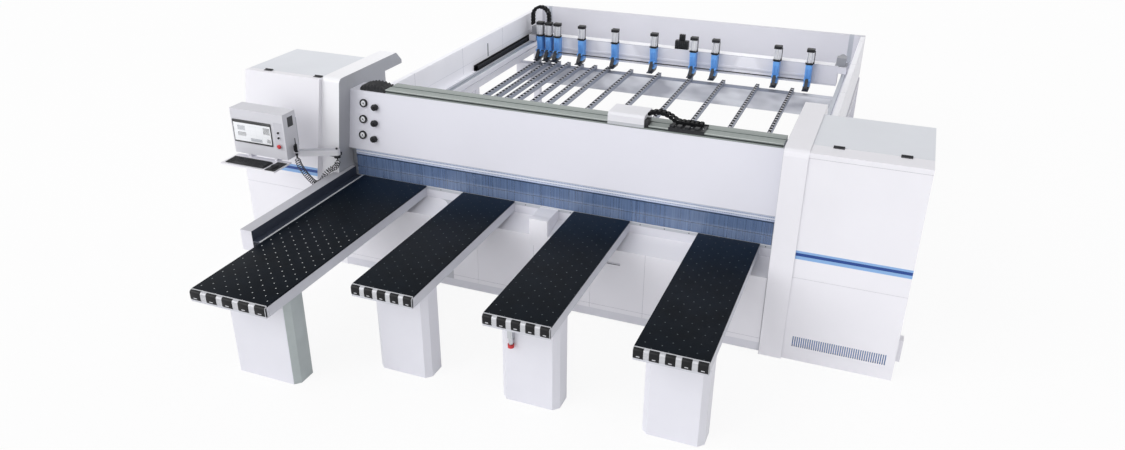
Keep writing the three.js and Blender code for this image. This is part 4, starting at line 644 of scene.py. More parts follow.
# %% Curtain band and strips
band_low, band_high = span("curtain_band")
SLOT_PITCH, SLOT_ROWS, SLOT_HALF, SLOT_SHARE = 16.0, (18.0, 44.0), 3.0, (0.25, 0.7)
BAND_LINE, BAND_FOLD = (26.0, 36.0), 4.0
band = Finish("curtain_band_plastic", colour(212, 221, 243), 0.35)
up = band.z - band_low[2]
slot_row = sum(up.within(row - SLOT_HALF, row + SLOT_HALF) for row in SLOT_ROWS)
slot_hole = slot_row * band.x.phase(SLOT_PITCH).within(*SLOT_SHARE)
band.layers(band.mottle(0.04, 80.0), (up.within(*BAND_LINE), colour(240, 243, 252)),
            (up < BAND_FOLD, colour(150, 172, 214)), (slot_hole, colour(96, 116, 160)))
band.bump(slot_hole * -1.0, 1.5)
band_part = brick(band_low + (0, 0.2, 0), band_high - (0, 0.2, 0), 1.5, 1.2, "x")
piece("curtain_band_skin", band_part, "curtain_band_plastic", "machine", ["curtain_band"])

STRIP_COUNT, STRIP_GAP, STRIP_THICK, STRIP_SWAY = 44, 0.3, 2.0, 0.35
strip_low, strip_high = span("strip_curtain")
chance = np.random.default_rng(7)
strip_pitch = (strip_high[0] - strip_low[0] + STRIP_GAP) / STRIP_COUNT
strip_width = strip_pitch - STRIP_GAP
half = STRIP_THICK / 2 - STRIP_SWAY
middle = (strip_low[1] + strip_high[1]) / 2
strips = []
for i in range(STRIP_COUNT):
    left = strip_low[0] + i * strip_pitch
    bow, twist = chance.uniform(-0.5, 0.5), chance.uniform(-0.7, 0.7)
    flat = np.array([(left, -half), (left + strip_width, -half), (left + strip_width, half), (left, half)])
    across = (flat[:, 0] - left) / strip_width - 0.5
    rings = []
    for s in np.linspace(1, 0, 9):
        ring = flat.copy()
        ring[:, 1] += STRIP_SWAY * s * (bow + twist * across)
        rings.append(on_axis("z", ring + (0, middle), strip_high[2] - s * (strip_high[2] - strip_low[2])))
    strips.append(skin(rings))

SHADED_TOP, DARK_LINE = 1178.0, (1052.0, 1058.0)
curtain = Finish("curtain_strips", colour(112, 136, 176), 0.12, IOR=1.45, Alpha=0.6)
streaks = curtain.noise(9.0, 3.0, (1, 1, 60)).ramp(0.3, 0.7).mix(colour(94, 117, 158), colour(128, 152, 192))
curtain.layers(streaks, ((curtain.z > SHADED_TOP) + curtain.z.within(*DARK_LINE), colour(62, 80, 112)))
curtain.wear(0.4, 70.0, (1, 1, 4))
piece("curtain_strips_hung", together(*strips), "curtain_strips", "machine",
      ["strip_curtain"])
print(STRIP_COUNT, "strips")

# %% [markdown]
# ## Gauges and knobs
# Three pressure gauges sit in the beam's sloping cover, each with its regulator knob beside it. A gauge is
# a turned bezel round a pale dial with plain ticks and a hand, a knob is a cup with flutes for the fingers.
# They stand square to the cover: a point (along, down the slope, out of the face) is carried to its place.

# %% Gauges and knobs
SLOPE = math.atan2(119.0, 592.0)
FACE = np.array(((1, 0, 0), (0, -math.sin(SLOPE), -math.cos(SLOPE)),
                 (0, -math.cos(SLOPE), math.sin(SLOPE)))).T
FACE_Y, FACE_Z = -48.0, 1847.0


def on_cover(part, x, distance):
    """A part with (x, down the slope, out of the face), moved to a place on the sloping cover."""
    points, faces = part
    start = np.array((x, FACE_Y - distance * math.sin(SLOPE), FACE_Z - distance * math.cos(SLOPE)))
    return points @ FACE.T + start, faces


def stroke(angle, start, end, half):
    """Outline of a straight mark on the dial, from one radius to another."""
    out = np.array((math.cos(angle), math.sin(angle)))
    across = np.array((-out[1], out[0]))
    return [start * out + half * across, start * out - half * across, end * out - half * across,
            end * out + half * across]


GAUGE_X, KNOB_X, DISTANCES, KNOB_DROP = -2033.0, -1896.0, (124.0, 286.0, 448.0), 27.0
bezel = turned("z", [(40, 0.4), (42, 2), (42, 19), (40, 21.6), (36, 22), (29, 19.5), (28, 15), (2, 15)],
               sides=48)
dial = turned("z", [(27.8, 14.8), (27.8, 15.6), (0.5, 15.7)], sides=48)
ticks = [(a, 20.5, 26.0, 1.2) for a in np.radians(np.linspace(-45, 225, 11))]
hub = turned("z", [(7, 15.5), (7, 18), (1, 18.6)], sides=20)
marks = [plate("z", stroke(*mark), 15.4, 16.4) for mark in ticks + [(math.radians(60), -6.0, 22.0, 1.3)]]
hand = together(*marks, hub)
moulded("dial_white", colour(226, 228, 232), 0.4, 1.5, 0.01)
angle = 2 * math.pi * np.arange(72) / 72
KNOB_RADIUS, FLUTE_DEPTH, FLUTES = 32.4, 1.5, 12
waves = (KNOB_RADIUS + FLUTE_DEPTH * np.cos(FLUTES * angle))[:, None]
fluted = waves * np.stack([np.cos(angle), np.sin(angle)], -1)
neck = circle(15.0, 72)
knob = skin(np.stack([on_axis("z", ring, height) for ring, height in (
    (fluted * 0.9, 0.4), (fluted, 4.0), (fluted, 36.0), (fluted * 0.95, 43.0), (fluted * 0.8, 46.0),
    (neck * 1.1, 46.5), (neck, 48.0), (neck, 64.0), (neck * 0.85, 67.0), (neck * 0.5, 67.8))]))
cap_ring = turned("z", [(18, 46.0), (21, 46.6), (21, 49.0), (18, 49.6), (14, 49.6)], sides=32)
for part, name, finish in ((bezel, "gauge_bezels", "black_plastic"), (dial, "gauge_dials", "dial_white"),
                           (hand, "gauge_hands", "black_steel")):
    row = together(*[on_cover(part, GAUGE_X, d) for d in DISTANCES])
    piece(name, row, finish, "machine", ["pressure_gauges"] if part is bezel else ())
for i, d in enumerate(DISTANCES):
    body = f"regulator_knob_{i + 1}"
    at_knob = KNOB_X, d + KNOB_DROP
    piece(f"fluted_knob_{i + 1}", on_cover(knob, *at_knob), "black_plastic", body, replaces=[body])
    piece(f"knob_cap_{i + 1}", on_cover(cap_ring, *at_knob), "black_steel", body)
print("gauges at", DISTANCES)

# %% [markdown]
# ## Bellows on the rail
# A folded cover of coated cloth closes the home end of the rail. Its folds are a zigzag along the rail,
# each one an arch over the rail, and they stand highest in the middle.

# %% Bellows
low, high = span("rail_bellows")
FOLDS, FOLD_DEPTH = 8, 15.0
run = np.linspace(0, 1, 2 * FOLDS + 1)
zig = np.arange(2 * FOLDS + 1) % 2
rings = []
for s, fold in zip(run, zig):
    lift = 40.0 + (high[2] - low[2] - 44.0) * math.sin(math.pi * s) - FOLD_DEPTH * (1 - fold)
    side_in = 5.0 * (1 - fold)
    y0, y1 = low[1] + side_in, high[1] - side_in
    arch = [(y0, low[2] + 0.5), (y1, low[2] + 0.5), (y1, low[2] + lift * 0.8), (y1 - 14, low[2] + lift),
            (y0 + 14, low[2] + lift), (y0, low[2] + lift * 0.8)]
    rings.append(on_axis("x", np.array(arch), low[0] + s * (high[0] - low[0])))
piece("rail_bellows_cloth", skin(rings), "black_rubber", "machine", replaces=["rail_bellows"], smooth=20)
print(FOLDS, "folds")

# %% [markdown]
# ## Energy chains
# A drag chain carries hoses and cables to a moving carriage. Its links are moulded frames with cheeks that
# overlap, so from outside the chain is a row of plates. One link is made along x, and a matrix with the
# tangent, the side and their cross product turns it onto each place of the line.

# %% Chain links
def chain_link(width, thick, pitch):
    """Two cheeks with round ends, longer than the pitch, and a web between them."""
    reach, half, sheet = pitch * 0.56, width / 2, 6.0
    cheek = rounded(thick, 2 * reach, thick * 0.42, 3)
    sides = [plate("y", cheek, s * half - (sheet if s > 0 else 0), s * half + (0 if s > 0 else sheet), 1.0, 2)
             for s in (-1, 1)]
    web_half = np.array((pitch * 0.33, half - sheet - 0.5, thick / 2 - 3))
    web = brick(-web_half, web_half, 2.0, 1.0)
    return together(*sides, web)


def chain_along(line, side, width, thick, pitch):
    """Links at equal steps of a line (k, 3), each turned so that its x axis follows the line."""
    run = steps_of(line).sum()
    count = max(3, int(round(run / pitch)))
    points = evenly(line, 2 * count + 1)
    tangent = points[2::2] - points[:-2:2]
    tangent /= np.linalg.norm(tangent, axis=1)[:, None]
    side = np.broadcast_to(np.asarray(side, float), tangent.shape)
    return repeated(chain_link(width, thick, run / count), points[1::2],
                    np.stack([tangent, side, np.cross(tangent, side)], -1))


# %% [markdown]
# ## Side aligner
# The aligner is a trolley on the beam's rail. Behind the beam its arm and roller push a strip against the
# fence. Its chain stands up in an arch and then lies in a tray that the trolley pulls along.

# %% Chain and tray of the aligner
RAIL_TOP = span("beam_rail")[1][2]
chain_low, chain_high = span("aligner_chain")
TRAY_FLOOR, CHAIN_Y, CHAIN_WIDTH, CHAIN_THICK, CHAIN_PITCH = RAIL_TOP + 8.3, 99.0, 78.0, 34.0, 41.0
ARCH = ((0, 1955), (45, 1970), (105, 1979), (165, 1970), (215, 1950), (255, 1926), (290, 1913),
        (330, 1912.5), (430, 1912.5), (510, 1912.5))
TRAY_WIDTH, TRAY_START, TRAY_UNDER, TRAY_LIP, LIP_THICK = 200.0, 225.0, 3.0, 19.5, 5.0
CLAMPS = (232, 300, 372, 460)
start = chain_low[0]
arch_line = evenly(smooth_route([(start + x, CHAIN_Y, z) for x, z in ARCH], 8), 60)
chain_part = chain_along(arch_line, (0, 1, 0), CHAIN_WIDTH, CHAIN_THICK, CHAIN_PITCH)
y0, y1 = chain_low[1], chain_low[1] + TRAY_WIDTH
x0, x1 = start + TRAY_START, chain_high[0]
lip_foot, under = RAIL_TOP - TRAY_LIP, RAIL_TOP + TRAY_UNDER
sheet = [(y0, lip_foot), (y0 + LIP_THICK, lip_foot), (y0 + LIP_THICK, under), (y1, under), (y1, TRAY_FLOOR),
         (y0, TRAY_FLOOR)]
rims = [brick((x0, y, TRAY_FLOOR - 0.3), (x1, y + 3.0, TRAY_FLOOR + 9.0), 1.0, 0.6) for y in (y0, y1 - 3.0)]
clamps = [brick((start + x, y0 + 12, TRAY_FLOOR), (start + x + 42, y0 + 62, TRAY_FLOOR + 26), 5.0, 3.0)
          for x in CLAMPS]
screw = turned("z", [(7.5, 0), (7.5, 4), (6, 5.5), (3.2, 5.5), (3.0, 3.0)], sides=12)
screws = repeated(screw, [(x, y0 + 84.0, TRAY_FLOOR) for x in np.linspace(x0 + 40, x1 - 25, 6)])
tray = together(plate("x", sheet, x0, x1, 0.6, 2), *rims, *clamps)
piece("aligner_chain_links", chain_part, "chain_plastic", "aligner", ["aligner_chain"])
piece("aligner_tray", tray, "black_steel", "aligner")
piece("aligner_tray_screws", screws, "machined_steel", "aligner")
cap_start = span("aligner_carriage")[1][0]
end_cap = brick((cap_start + 0.2, -46.0, RAIL_TOP - 14), (cap_start + 40.0, 54.0, RAIL_TOP + 48), 6.0, 3.0)
piece("aligner_end_plate", end_cap, "black_steel", "aligner")
print("aligner chain on", len(arch_line), "points")

# %% [markdown]
# ## Roller rails
# Sheets lie on rows of small wheels behind the saw. A rail is a light folded channel, and a black strip
# fills it to just under its edges. Two flat strips join the channels at their feet.

# %% Roller rails
rail_low, rail_high = span("roller_rails")
RAIL_PLACES = (-2100, -1940, -1785, -1628, -1419, -1210, -1003, -655, -235, 233, 696, 1173, 1648)
CHANNEL_HALF, CHANNEL_WALL, CHANNEL_DROP = 22.0, 2.6, 2.0
WHEEL_RADIUS, WHEEL_PITCH, WHEEL_HALF, HUB_RADIUS = 31.0, 96.0, 17.0, 9.0
CROSS_STRIPS = ((4560.0, 140.0), (2200.0, 110.0))
top_edge, foot = rail_high[2] - CHANNEL_DROP, rail_low[2]
inside, floor_top = CHANNEL_HALF - CHANNEL_WALL, foot + CHANNEL_WALL


def outward(points):
    """The outline, turned round if it runs clockwise: twice its area is the sum of x y' - x' y."""
    points = np.asarray(points, float)
    after = np.roll(points, -1, 0)
    return points if (points[:, 0] * after[:, 1] - after[:, 0] * points[:, 1]).sum() > 0 else points[::-1]


channel_outline = [(foot, -CHANNEL_HALF), (top_edge, -CHANNEL_HALF), (top_edge, -inside),
                   (floor_top, -inside), (floor_top, inside), (top_edge, inside), (top_edge, CHANNEL_HALF),
                   (foot, CHANNEL_HALF)]
channel = plate("y", outward(channel_outline), rail_low[1], rail_high[1])
at_rails = along_x(RAIL_PLACES)
strips = [brick((RAIL_PLACES[0] - 22, y, foot), (RAIL_PLACES[-1] + 22, y + wide, foot + 3.0), 2.0, 0.4)
          for y, wide in CROSS_STRIPS]
drawn("channel_steel", colour(134, 140, 155), 0.45, axis=1, metallic=0.2)
piece("rail_channels", together(repeated(channel, at_rails), *strips), "channel_steel", "machine",
      ["roller_rails"])
bed = brick((-inside, rail_low[1] + 2.0, floor_top), (inside, rail_high[1] - 2.0, rail_high[2] - 8.0),
            1.0, 0.6)
piece("rail_beds", repeated(bed, at_rails), "chain_plastic", "machine")

# %% [markdown]
# ## Wheels
# Black wheels stand on pins between the channel's walls, just proud of its edges, with a pale block between
# each two. One wheel is a short turned drum with a hub.

# %% Wheels, pins and spacers
rim = [(WHEEL_RADIUS - 2, WHEEL_HALF), (WHEEL_RADIUS, WHEEL_HALF - 2)]
hub = [(HUB_RADIUS, WHEEL_HALF + 2), (HUB_RADIUS, WHEEL_HALF)]
wheel = turned("x", [(r, -x) for r, x in hub + rim] + (hub + rim)[::-1], sides=14)
steps = np.arange(rail_low[1] + 40.0, rail_high[1] - 30.0, WHEEL_PITCH)
spots = np.stack([np.repeat(at_rails[:, 0], len(steps)), np.tile(steps, len(at_rails)),
                  np.full(len(steps) * len(at_rails), rail_high[2] - WHEEL_RADIUS)], -1)
pin = turned("x", [(3.6, -CHANNEL_HALF + 1), (3.6, CHANNEL_HALF - 1)], sides=6)
spacer = brick((-14, WHEEL_PITCH / 2 - 10, rail_high[2] - WHEEL_RADIUS - 14.0),
               (14, WHEEL_PITCH / 2 + 10, rail_high[2] - 4.0), 3.0, 1.5)
gaps = spots[spots[:, 1] < rail_high[1] - WHEEL_PITCH] * (1, 1, 0)
piece("rail_wheels", repeated(wheel, spots), "chain_plastic", "machine")
piece("rail_pins", repeated(pin, spots), "machined_steel", "machine")
piece("rail_spacers", repeated(spacer, gaps), "pale_metal", "machine")
print(len(spots), "wheels on", len(at_rails), "rails")

# %% [markdown]
# ## Grippers
# Each gripper holds the rear edge of the stack between a fixed finger and a swinging jaw. Its body is blue
# and the finger below it is dark.

# %% Gripper bodies
GRIPPERS = (-2108, -1972, -1836, -1452, -938, -354, 227, 533, 1390, 1824)
grip_high = span("gripper_row")[1]
backs, TOP = grip_high[1:]
BODY_HALF, AXIS_Y, BODY_TOP, FINGER_TOP, CHEEK_X, CHEEK_HALF = 42.0, 4752.0, 1298.0, 1006.0, 31.4, 10.4
SIDE_VIEW = [(4701.0, BODY_TOP - 6), (4701.0, 1262.0), (4726.0, 1052.0), (4640.0, 978.4), (4640.0, 978.0),
             (4570.0, 977.5), (4568.0, 965.0), (4792.0, 964.5), (backs - 0.3, 995.0),
             (backs - 0.3, BODY_TOP - 6)]
CHEEK = [(4661.0, 1082.0), (4661.0, 1102.0), (4668.0, 1108.0), (4716.0, 1108.0), (4722.0, 1076.0),
         (4668.0, 1076.0)]
RIB, RIB_X, RIB_HALF = [(4706, 1250), (4694, 1235), (4700, 1160), (4716, 1120)], 20, 6

body_part = plate("x", outward(SIDE_VIEW), -BODY_HALF, BODY_HALF, 3.0, 3)
cheeks = [plate("x", outward(CHEEK), x - CHEEK_HALF, x + CHEEK_HALF, 1.0, 2) for x in (-CHEEK_X, CHEEK_X)]
ribs = [plate("x", outward(RIB), x - RIB_HALF, x + RIB_HALF, 1.5, 2) for x in (-RIB_X, RIB_X)]
at_grippers = along_x(GRIPPERS)
bodies = repeated(together(body_part, *cheeks, *ribs), at_grippers)
body_paint = painted("gripper_paint", colour(96, 154, 220), 0.35)
body_paint.layers(body_paint.mottle(0.03, 300.0), (body_paint.z < FINGER_TOP, colour(30, 34, 44)))
piece("gripper_bodies", bodies, "gripper_paint", "gantry", ["gripper_row"])
print(len(GRIPPERS), "grippers")

# %% [markdown]
# ## Gripper cylinders
# An air cylinder of bright aluminium stands on each body between two black end caps, with tie rods at its
# corners and a thin air pipe beside it from cap to cap. A rail along the backs of the bodies joins all the
# grippers.

# %% Cylinders, caps and fittings
BARREL_RADIUS, BARREL_LOW, BARREL_HIGH, ROD_AT, ROD_HALF, CAP_HALF = 43.0, 1320.0, 1468.0, 38, 7, 51.5
barrel = turned("z", [(BARREL_RADIUS, BARREL_LOW), (BARREL_RADIUS, BARREL_HIGH)], (0.0, AXIS_Y), 28)


def upright(half_x, front, back, low, high, radius, edge):
    """An upright block about the cylinder's axis: half_x to each side, and so far before and behind it."""
    return brick((-half_x, AXIS_Y - front, low), (half_x, AXIS_Y + back, high), radius, edge)


rod = brick((-ROD_HALF, AXIS_Y - ROD_HALF, BARREL_LOW), (ROD_HALF, AXIS_Y + ROD_HALF, BARREL_HIGH), 6.0, 0.5)
rods = repeated(rod, [(sx * ROD_AT, sy * ROD_AT, 0) for sx in (-1, 1) for sy in (-1, 1)])
lower_cap = upright(CAP_HALF, CAP_HALF, CAP_HALF, 1299, 1322, 9.0, 2.5)
upper_cap = upright(CAP_HALF, CAP_HALF, CAP_HALF, 1466, TOP - 0.4, 9.0, 3.0)
neck = upright(30, 40, 36, 1280, 1300, 5.0, 1.5)
fitting = together(*[turned("x", [(8, 50.5), (8, 62)], (AXIS_Y - 20.0, z), 10) for z in (1312.0, 1480.0)],
                   swept(circle(5.0, 8), [(60.0, AXIS_Y - 20.0, z) for z in np.linspace(1306, 1486, 6)]))
piece("gripper_cylinders", repeated(together(barrel, rods), at_grippers), "chrome", "gantry")
piece("gripper_caps", repeated(together(lower_cap, upper_cap, neck, fitting), at_grippers), "black_plastic",
      "gantry")
painted("gantry_rail_paint", colour(206, 206, 214))
rail_part = brick((GRIPPERS[0] - 28, backs - 12.0 + 0.2, 1100.5), (GRIPPERS[-1] + 28, backs - 0.2, 1133.5),
                  1.5, 1.0, "x")
piece("gripper_rail", rail_part, "gantry_rail_paint", "gantry")
print("cylinders up to", round(float(TOP), 1))

# %% [markdown]
# ## Chain arch and valve block
# A second chain comes out of the trough along the left wall and turns over to the gantry. The valve block
# sits in the middle of the gantry beam, a row of black slices with their coils on top.

# %% Chain of the gantry, valve block
ARCH_X, ARCH_Y, ARCH_Z, ARCH_R, OUTER_FOOT, INNER_FOOT = -2148.0, 4872.0, 1566.0, 128.0, 1424.0, 1300.0
turn = np.linspace(math.pi, 0, 50)
line_x = np.concatenate([np.full(12, ARCH_X - ARCH_R), ARCH_X + ARCH_R * np.cos(turn),
                         np.full(12, ARCH_X + ARCH_R)])
line_z = np.concatenate([np.linspace(OUTER_FOOT, ARCH_Z, 12, endpoint=False), ARCH_Z + ARCH_R * np.sin(turn),
                         np.linspace(ARCH_Z, INNER_FOOT, 13)[1:]])
line = np.stack([line_x, np.full(len(line_x), ARCH_Y), line_z], -1)
piece("gantry_chain_links", chain_along(line, (0, 1, 0), 82.0, 42.0, 47.0), "chain_plastic", "gantry",
      ["gantry_chain"])

low, high = span("valve_block")
SLICES, SLICE_HEIGHT, COIL_WIDTH = 7, 118, 24
width = (high[0] - low[0]) / SLICES
slice_part = brick((0.6, low[1], low[2]), (width - 0.6, high[1], low[2] + SLICE_HEIGHT), 3.0, 2.0)
slices = repeated(slice_part, along_x(low[0] + width * np.arange(SLICES)))
coil_foot = low[2] + SLICE_HEIGHT - 1
coils = [brick((x, low[1] + 12, coil_foot), (x + COIL_WIDTH, high[1] - 12, high[2] - 0.5), 4.0, 3.0)
         for x in np.linspace(low[0] + 55, high[0] - 79, 3)]
core = brick(low + (4, 4, 8), (high[0] - 4, high[1] - 4, low[2] + 110), 3.0, 2.0)
piece("valve_slices", together(slices, core, *coils), "black_plastic", "gantry", replaces=["valve_block"])
print("valve block of", SLICES, "slices")

# %% [markdown]
# ## Walls, gantry beam and frame
# The rear walls, the gantry beam and the frame keep their packed skin. Sheet joints, the metal track rails
# and the darker drive motors are read from the place on the part, in millimetres. Light clouds in the paint
# of the gantry beam and the crossbeams take the place of reflections.

# %% Finishes of the rear
TRACK_X, TRACK_LEVEL, SILL_LEVELS, SILL_THICK = (2240.0, 2303.0), 1169.5, (1302.0, 1136.0), 4.0
JOINT_PITCH, JOINT_START, JOINT_SHARE, JOINT_LEVEL = 1240.0, 300.0, 0.0035, 1200.0
SLIT_Y, SLIT_Z, REAR_PANEL = (3520.0, 3548.0), (1260.0, 1440.0), 5500.0
walls = painted("rear_wall_paint", colour(234, 234, 242), 0.45)
track = walls.x.one("ABSOLUTE").within(*TRACK_X) * (walls.z > TRACK_LEVEL)
joints = (walls.y.phase(JOINT_PITCH, JOINT_START) < JOINT_SHARE) * (walls.z > JOINT_LEVEL)
sills = sum(walls.z.within(z, z + SILL_THICK) for z in SILL_LEVELS)
on_left = walls.x < 0.0
# painted light and shade: the walls and the rear panel are one paint, given as a lighter copy on the walls
# and a darker copy on the rear panel
walls.layers(walls.mottle(0.02, 500.0, colour(244, 244, 250)),
             (joints + sills * 0.45 * on_left, colour(160, 164, 176)),
             (walls.y > REAR_PANEL, walls.mottle(0.02, 700.0, colour(207, 207, 215))),
             (track, colour(186, 190, 198)),
             (walls.y.within(*SLIT_Y) * walls.z.within(*SLIT_Z) * on_left, colour(90, 94, 104)))
walls.set("Metallic", track * 0.6)

MOTOR_X, MOTOR_LEVEL, CLOUD_TOP, LID_LEVEL, EDGE_LEVELS = 2150.0, 1291.0, 1278.0, 1287.0, (1281.0, 1030.0)
beam = painted("gantry_paint", colour(222, 221, 229), 0.4)
motor = (beam.x.one("ABSOLUTE") > MOTOR_X) * (beam.z > MOTOR_LEVEL)
cloud = beam.noise(620.0, 1.5, (1, 1, 1.3)).ramp(0.53, 0.6) * (beam.z < CLOUD_TOP)
beam.layers(beam.mottle(0.02, 700.0, colour(207, 207, 215)), (cloud, colour(226, 226, 233)),
            (beam.z > LID_LEVEL, colour(246, 246, 250)),
            (sum(beam.z.within(z, z + 3.0) for z in EDGE_LEVELS), colour(160, 161, 171)),
            (motor, colour(150, 152, 158)))
beam.set("Metallic", motor * 0.4)

CROSS_HALF, CROSS_TOP = 2190.0, 1160.0
rear = painted("rear_frame_paint", colour(186, 188, 197), 0.45)
clouds = rear.noise(240.0, 2.0, (2.5, 1, 1)).ramp(0.38, 0.62)
clouds = clouds.mix(colour(158, 160, 170), colour(206, 208, 215))
beside = ((rear.x.one("ABSOLUTE") > CROSS_HALF) + (rear.z > CROSS_TOP)) > 0.5
rear.layers(clouds, (beside, colour(210, 210, 218)))
special.update(rear_walls="rear_wall_paint", gantry_beam="gantry_paint", rear_frame="rear_frame_paint",
               gripper_jaws="black_steel", chain_trough="black_plastic")

LAY_END, LAY_LIFT = 4860.0, 46.0
low, high = span("chain_trough")
lay = np.stack([np.full(40, (low[0] + high[0]) / 2), np.linspace(low[1] + 30, LAY_END, 40),
                np.full(40, low[2] + LAY_LIFT)], -1)
piece("trough_chain", chain_along(lay, (1, 0, 0), 50.0, 40.0, 47.0), "chain_plastic", "machine")
print("chain laid to y", LAY_END)

# %% [markdown]
# ## Console
# The console is a folded sheet housing on a swivel arm. Behind a glass front sits the screen, which shows a
# plain layout of panes. It is worked out from the place on the glass, in shares of its width and height.
# Beside it are a strip with two push buttons and the red mushroom stop.

# %% Screen
PANES = ((0.79, 0.96, 0.50, 0.80), (0.12, 0.33, 0.30, 0.47), (0.86, 0.96, 0.14, 0.30))
ROWS_PANE, CELLS_PANE = (0.12, 0.32, 0.56, 0.76), (0.44, 0.74, 0.11, 0.25)
CELL, ROW, HEAD_BAR, FOOT_BAR = 0.028, 0.052, 0.875, (0.03, 0.075)
GRID_PANE, GRID_CELL, GRID_ROW, GRID_LINE = (0.05, 0.95, 0.10, 0.86), 0.15, 0.19, 0.02
glass_low, glass_high = span("console_screen")
screen = Finish("console_display", colour(238, 240, 244), 0.1, Coat_Weight=0.5, Coat_Roughness=0.05)
across = (screen.x - glass_low[0]) / (glass_high[0] - glass_low[0])
up = (screen.z - glass_low[2]) / (glass_high[2] - glass_low[2])
cells, rows = across.phase(CELL), up.phase(ROW)


def pane(left, right, low, high):
    """1 inside a pane of the picture, in shares of the glass."""
    return across.within(left, right) * up.within(low, high)


rim = 1.0 - pane(0.02, 0.98, 0.03, 0.97)
bars = (up > HEAD_BAR) + up.within(*FOOT_BAR)
blocks = sum(pane(*place) for place in PANES) * ((cells > 0.34) * (rows > 0.3))
soft = pane(*ROWS_PANE) * (rows > 0.45) + pane(*CELLS_PANE) * (cells > 0.35)
grid = pane(*GRID_PANE) * ((across.phase(GRID_CELL) < GRID_LINE) + (up.phase(GRID_ROW) < GRID_LINE))
screen.layers(colour(238, 240, 244), (grid * 0.3 + soft * 0.9, colour(120, 126, 138)),
              (blocks, colour(24, 27, 34)), (bars + rim, colour(24, 26, 30)))
screen.set("Roughness", rim.ramp(0, 1, 0.12, 0.4))
glass = brick(glass_low, glass_high - (0, 0.2, 0), 6.0, 1.5, "y")
piece("screen_front", glass, "console_display", "console", ["console_screen"])
print("screen", (glass_high - glass_low).round(1))

# %% [markdown]
# ## Buttons
# A push button is a turned cap with a dished face in a bright ring, and the ring stays on the housing while
# the cap goes in. The stop is a mushroom head on a bright collar, as large as a palm needs.

# %% Buttons and collars
CAP_RADIUS, STOP_RADIUS, NECK_RADIUS, DOME = 11.0, 22.0, 11.0, 9.0
COLLARS = (("start_button", 11.6, 15.0), ("reset_button", 11.6, 15.0), ("emergency_stop", 11.8, 17.0))
front = span("console_housing")[0][1]


def button(name):
    """Front and back of a button along y, and its centre as (z, x)."""
    low, high = span(name)
    return low[1], high[1], ((low[2] + high[2]) / 2, (low[0] + high[0]) / 2)


for name in ("start_button", "reset_button"):
    face, back, centre = button(name)
    dish = [(CAP_RADIUS - 4.5, face + 1.4), (CAP_RADIUS - 3.0, face + 0.2), (CAP_RADIUS - 1.2, face + 0.4)]
    stem = [(CAP_RADIUS, face + 2.0), (CAP_RADIUS, front - 4.4), (CAP_RADIUS * 0.62, front - 4.4),
            (CAP_RADIUS * 0.5, back)]
    cap = turned("y", [(0.5, face + 1.6)] + dish + stem, centre)
    piece(name + "_cap", cap, "black_plastic", name, replaces=[name])

face, back, centre = button("emergency_stop")
dome = [(STOP_RADIUS * math.cos(a), face + DOME * (1 - math.sin(a)))
        for a in np.linspace(math.pi / 2 - 0.02, 0, 9)]
under = [(STOP_RADIUS, face + 13.0), (19.5, face + 16.0), (NECK_RADIUS, face + 17.5), (NECK_RADIUS, back)]
piece("stop_mushroom", turned("y", dome + under, centre, 32), "red_plastic", "emergency_stop",
      replaces=["emergency_stop"])

collars = []
for name, inner, outer in COLLARS:
    ring = [(outer, front - 0.3), (inner, front - 0.3), (inner, front - 3.4), (outer - 1.0, front - 3.4),
            (outer, front - 2.4)]
    collars.append(turned("y", ring, button(name)[2], 32, loop=True))
piece("button_collars", together(*collars), "chrome", "console")
print(len(collars), "collars")

# %% [markdown]
# ## Keyboard, mouse and gun
# The keys are rounded blocks with tapered sides on a low base, and the keys of a row share its length by
# their widths. The mouse is one smooth shell: at share s of its length its section is half an oval, whose
# width and height follow powers of a sine. The gun, the tray and the lever keep their packed skin.

# %% Keyboard and mouse
KEY_ROWS, KEY_GAP, KEY_TAPER, DECK_HEIGHT, KEY_RISE, ROW_RISE = 6, 2.6, 4, 9.0, 6.5, 0.7
SPACE_ROW = [1.5, 1.2, 1.2, 7.0, 1.2, 1.2, 1.7, 1, 1, 1, 2]
low, high = span("keyboard")
base_top = low[2] + DECK_HEIGHT
deck = brick(low + (0, 0, 0.2), (high[0], high[1], base_top), 8.0, 2.5)
row_length, pitch_y = high[0] - low[0] - 16, (high[1] - low[1] - 14) / KEY_ROWS
keys = []
for row in range(KEY_ROWS):
    more = 0.5 * (row % 3 == 1)
    widths = [1 + more] + [1.0] * 13 + [1.5 - more] + [1.0] * 4 if row else SPACE_ROW
    x, y = low[0] + 8.0, low[1] + 7.0 + row * pitch_y
    for w in widths:
        wide = w * row_length / sum(widths)
        middle = np.array((x + wide / 2, y + pitch_y / 2))
        size_x, size_y = wide - KEY_GAP, pitch_y - KEY_GAP
        foot_ring = rounded(size_x, size_y, 2.0, 2, middle)
        cap_ring = rounded(size_x - KEY_TAPER, size_y - KEY_TAPER, 2.0, 2, middle + (0, 0.6))
        rise = base_top + KEY_RISE + ROW_RISE * row
        keys.append(skin(np.stack([on_axis("z", foot_ring, base_top - 0.5), on_axis("z", cap_ring, rise)])))
        x += wide
piece("keyboard_deck", deck, "black_steel", "console", ["keyboard"])
piece("keyboard_keys", together(*keys), "black_plastic", "console", smooth=20)

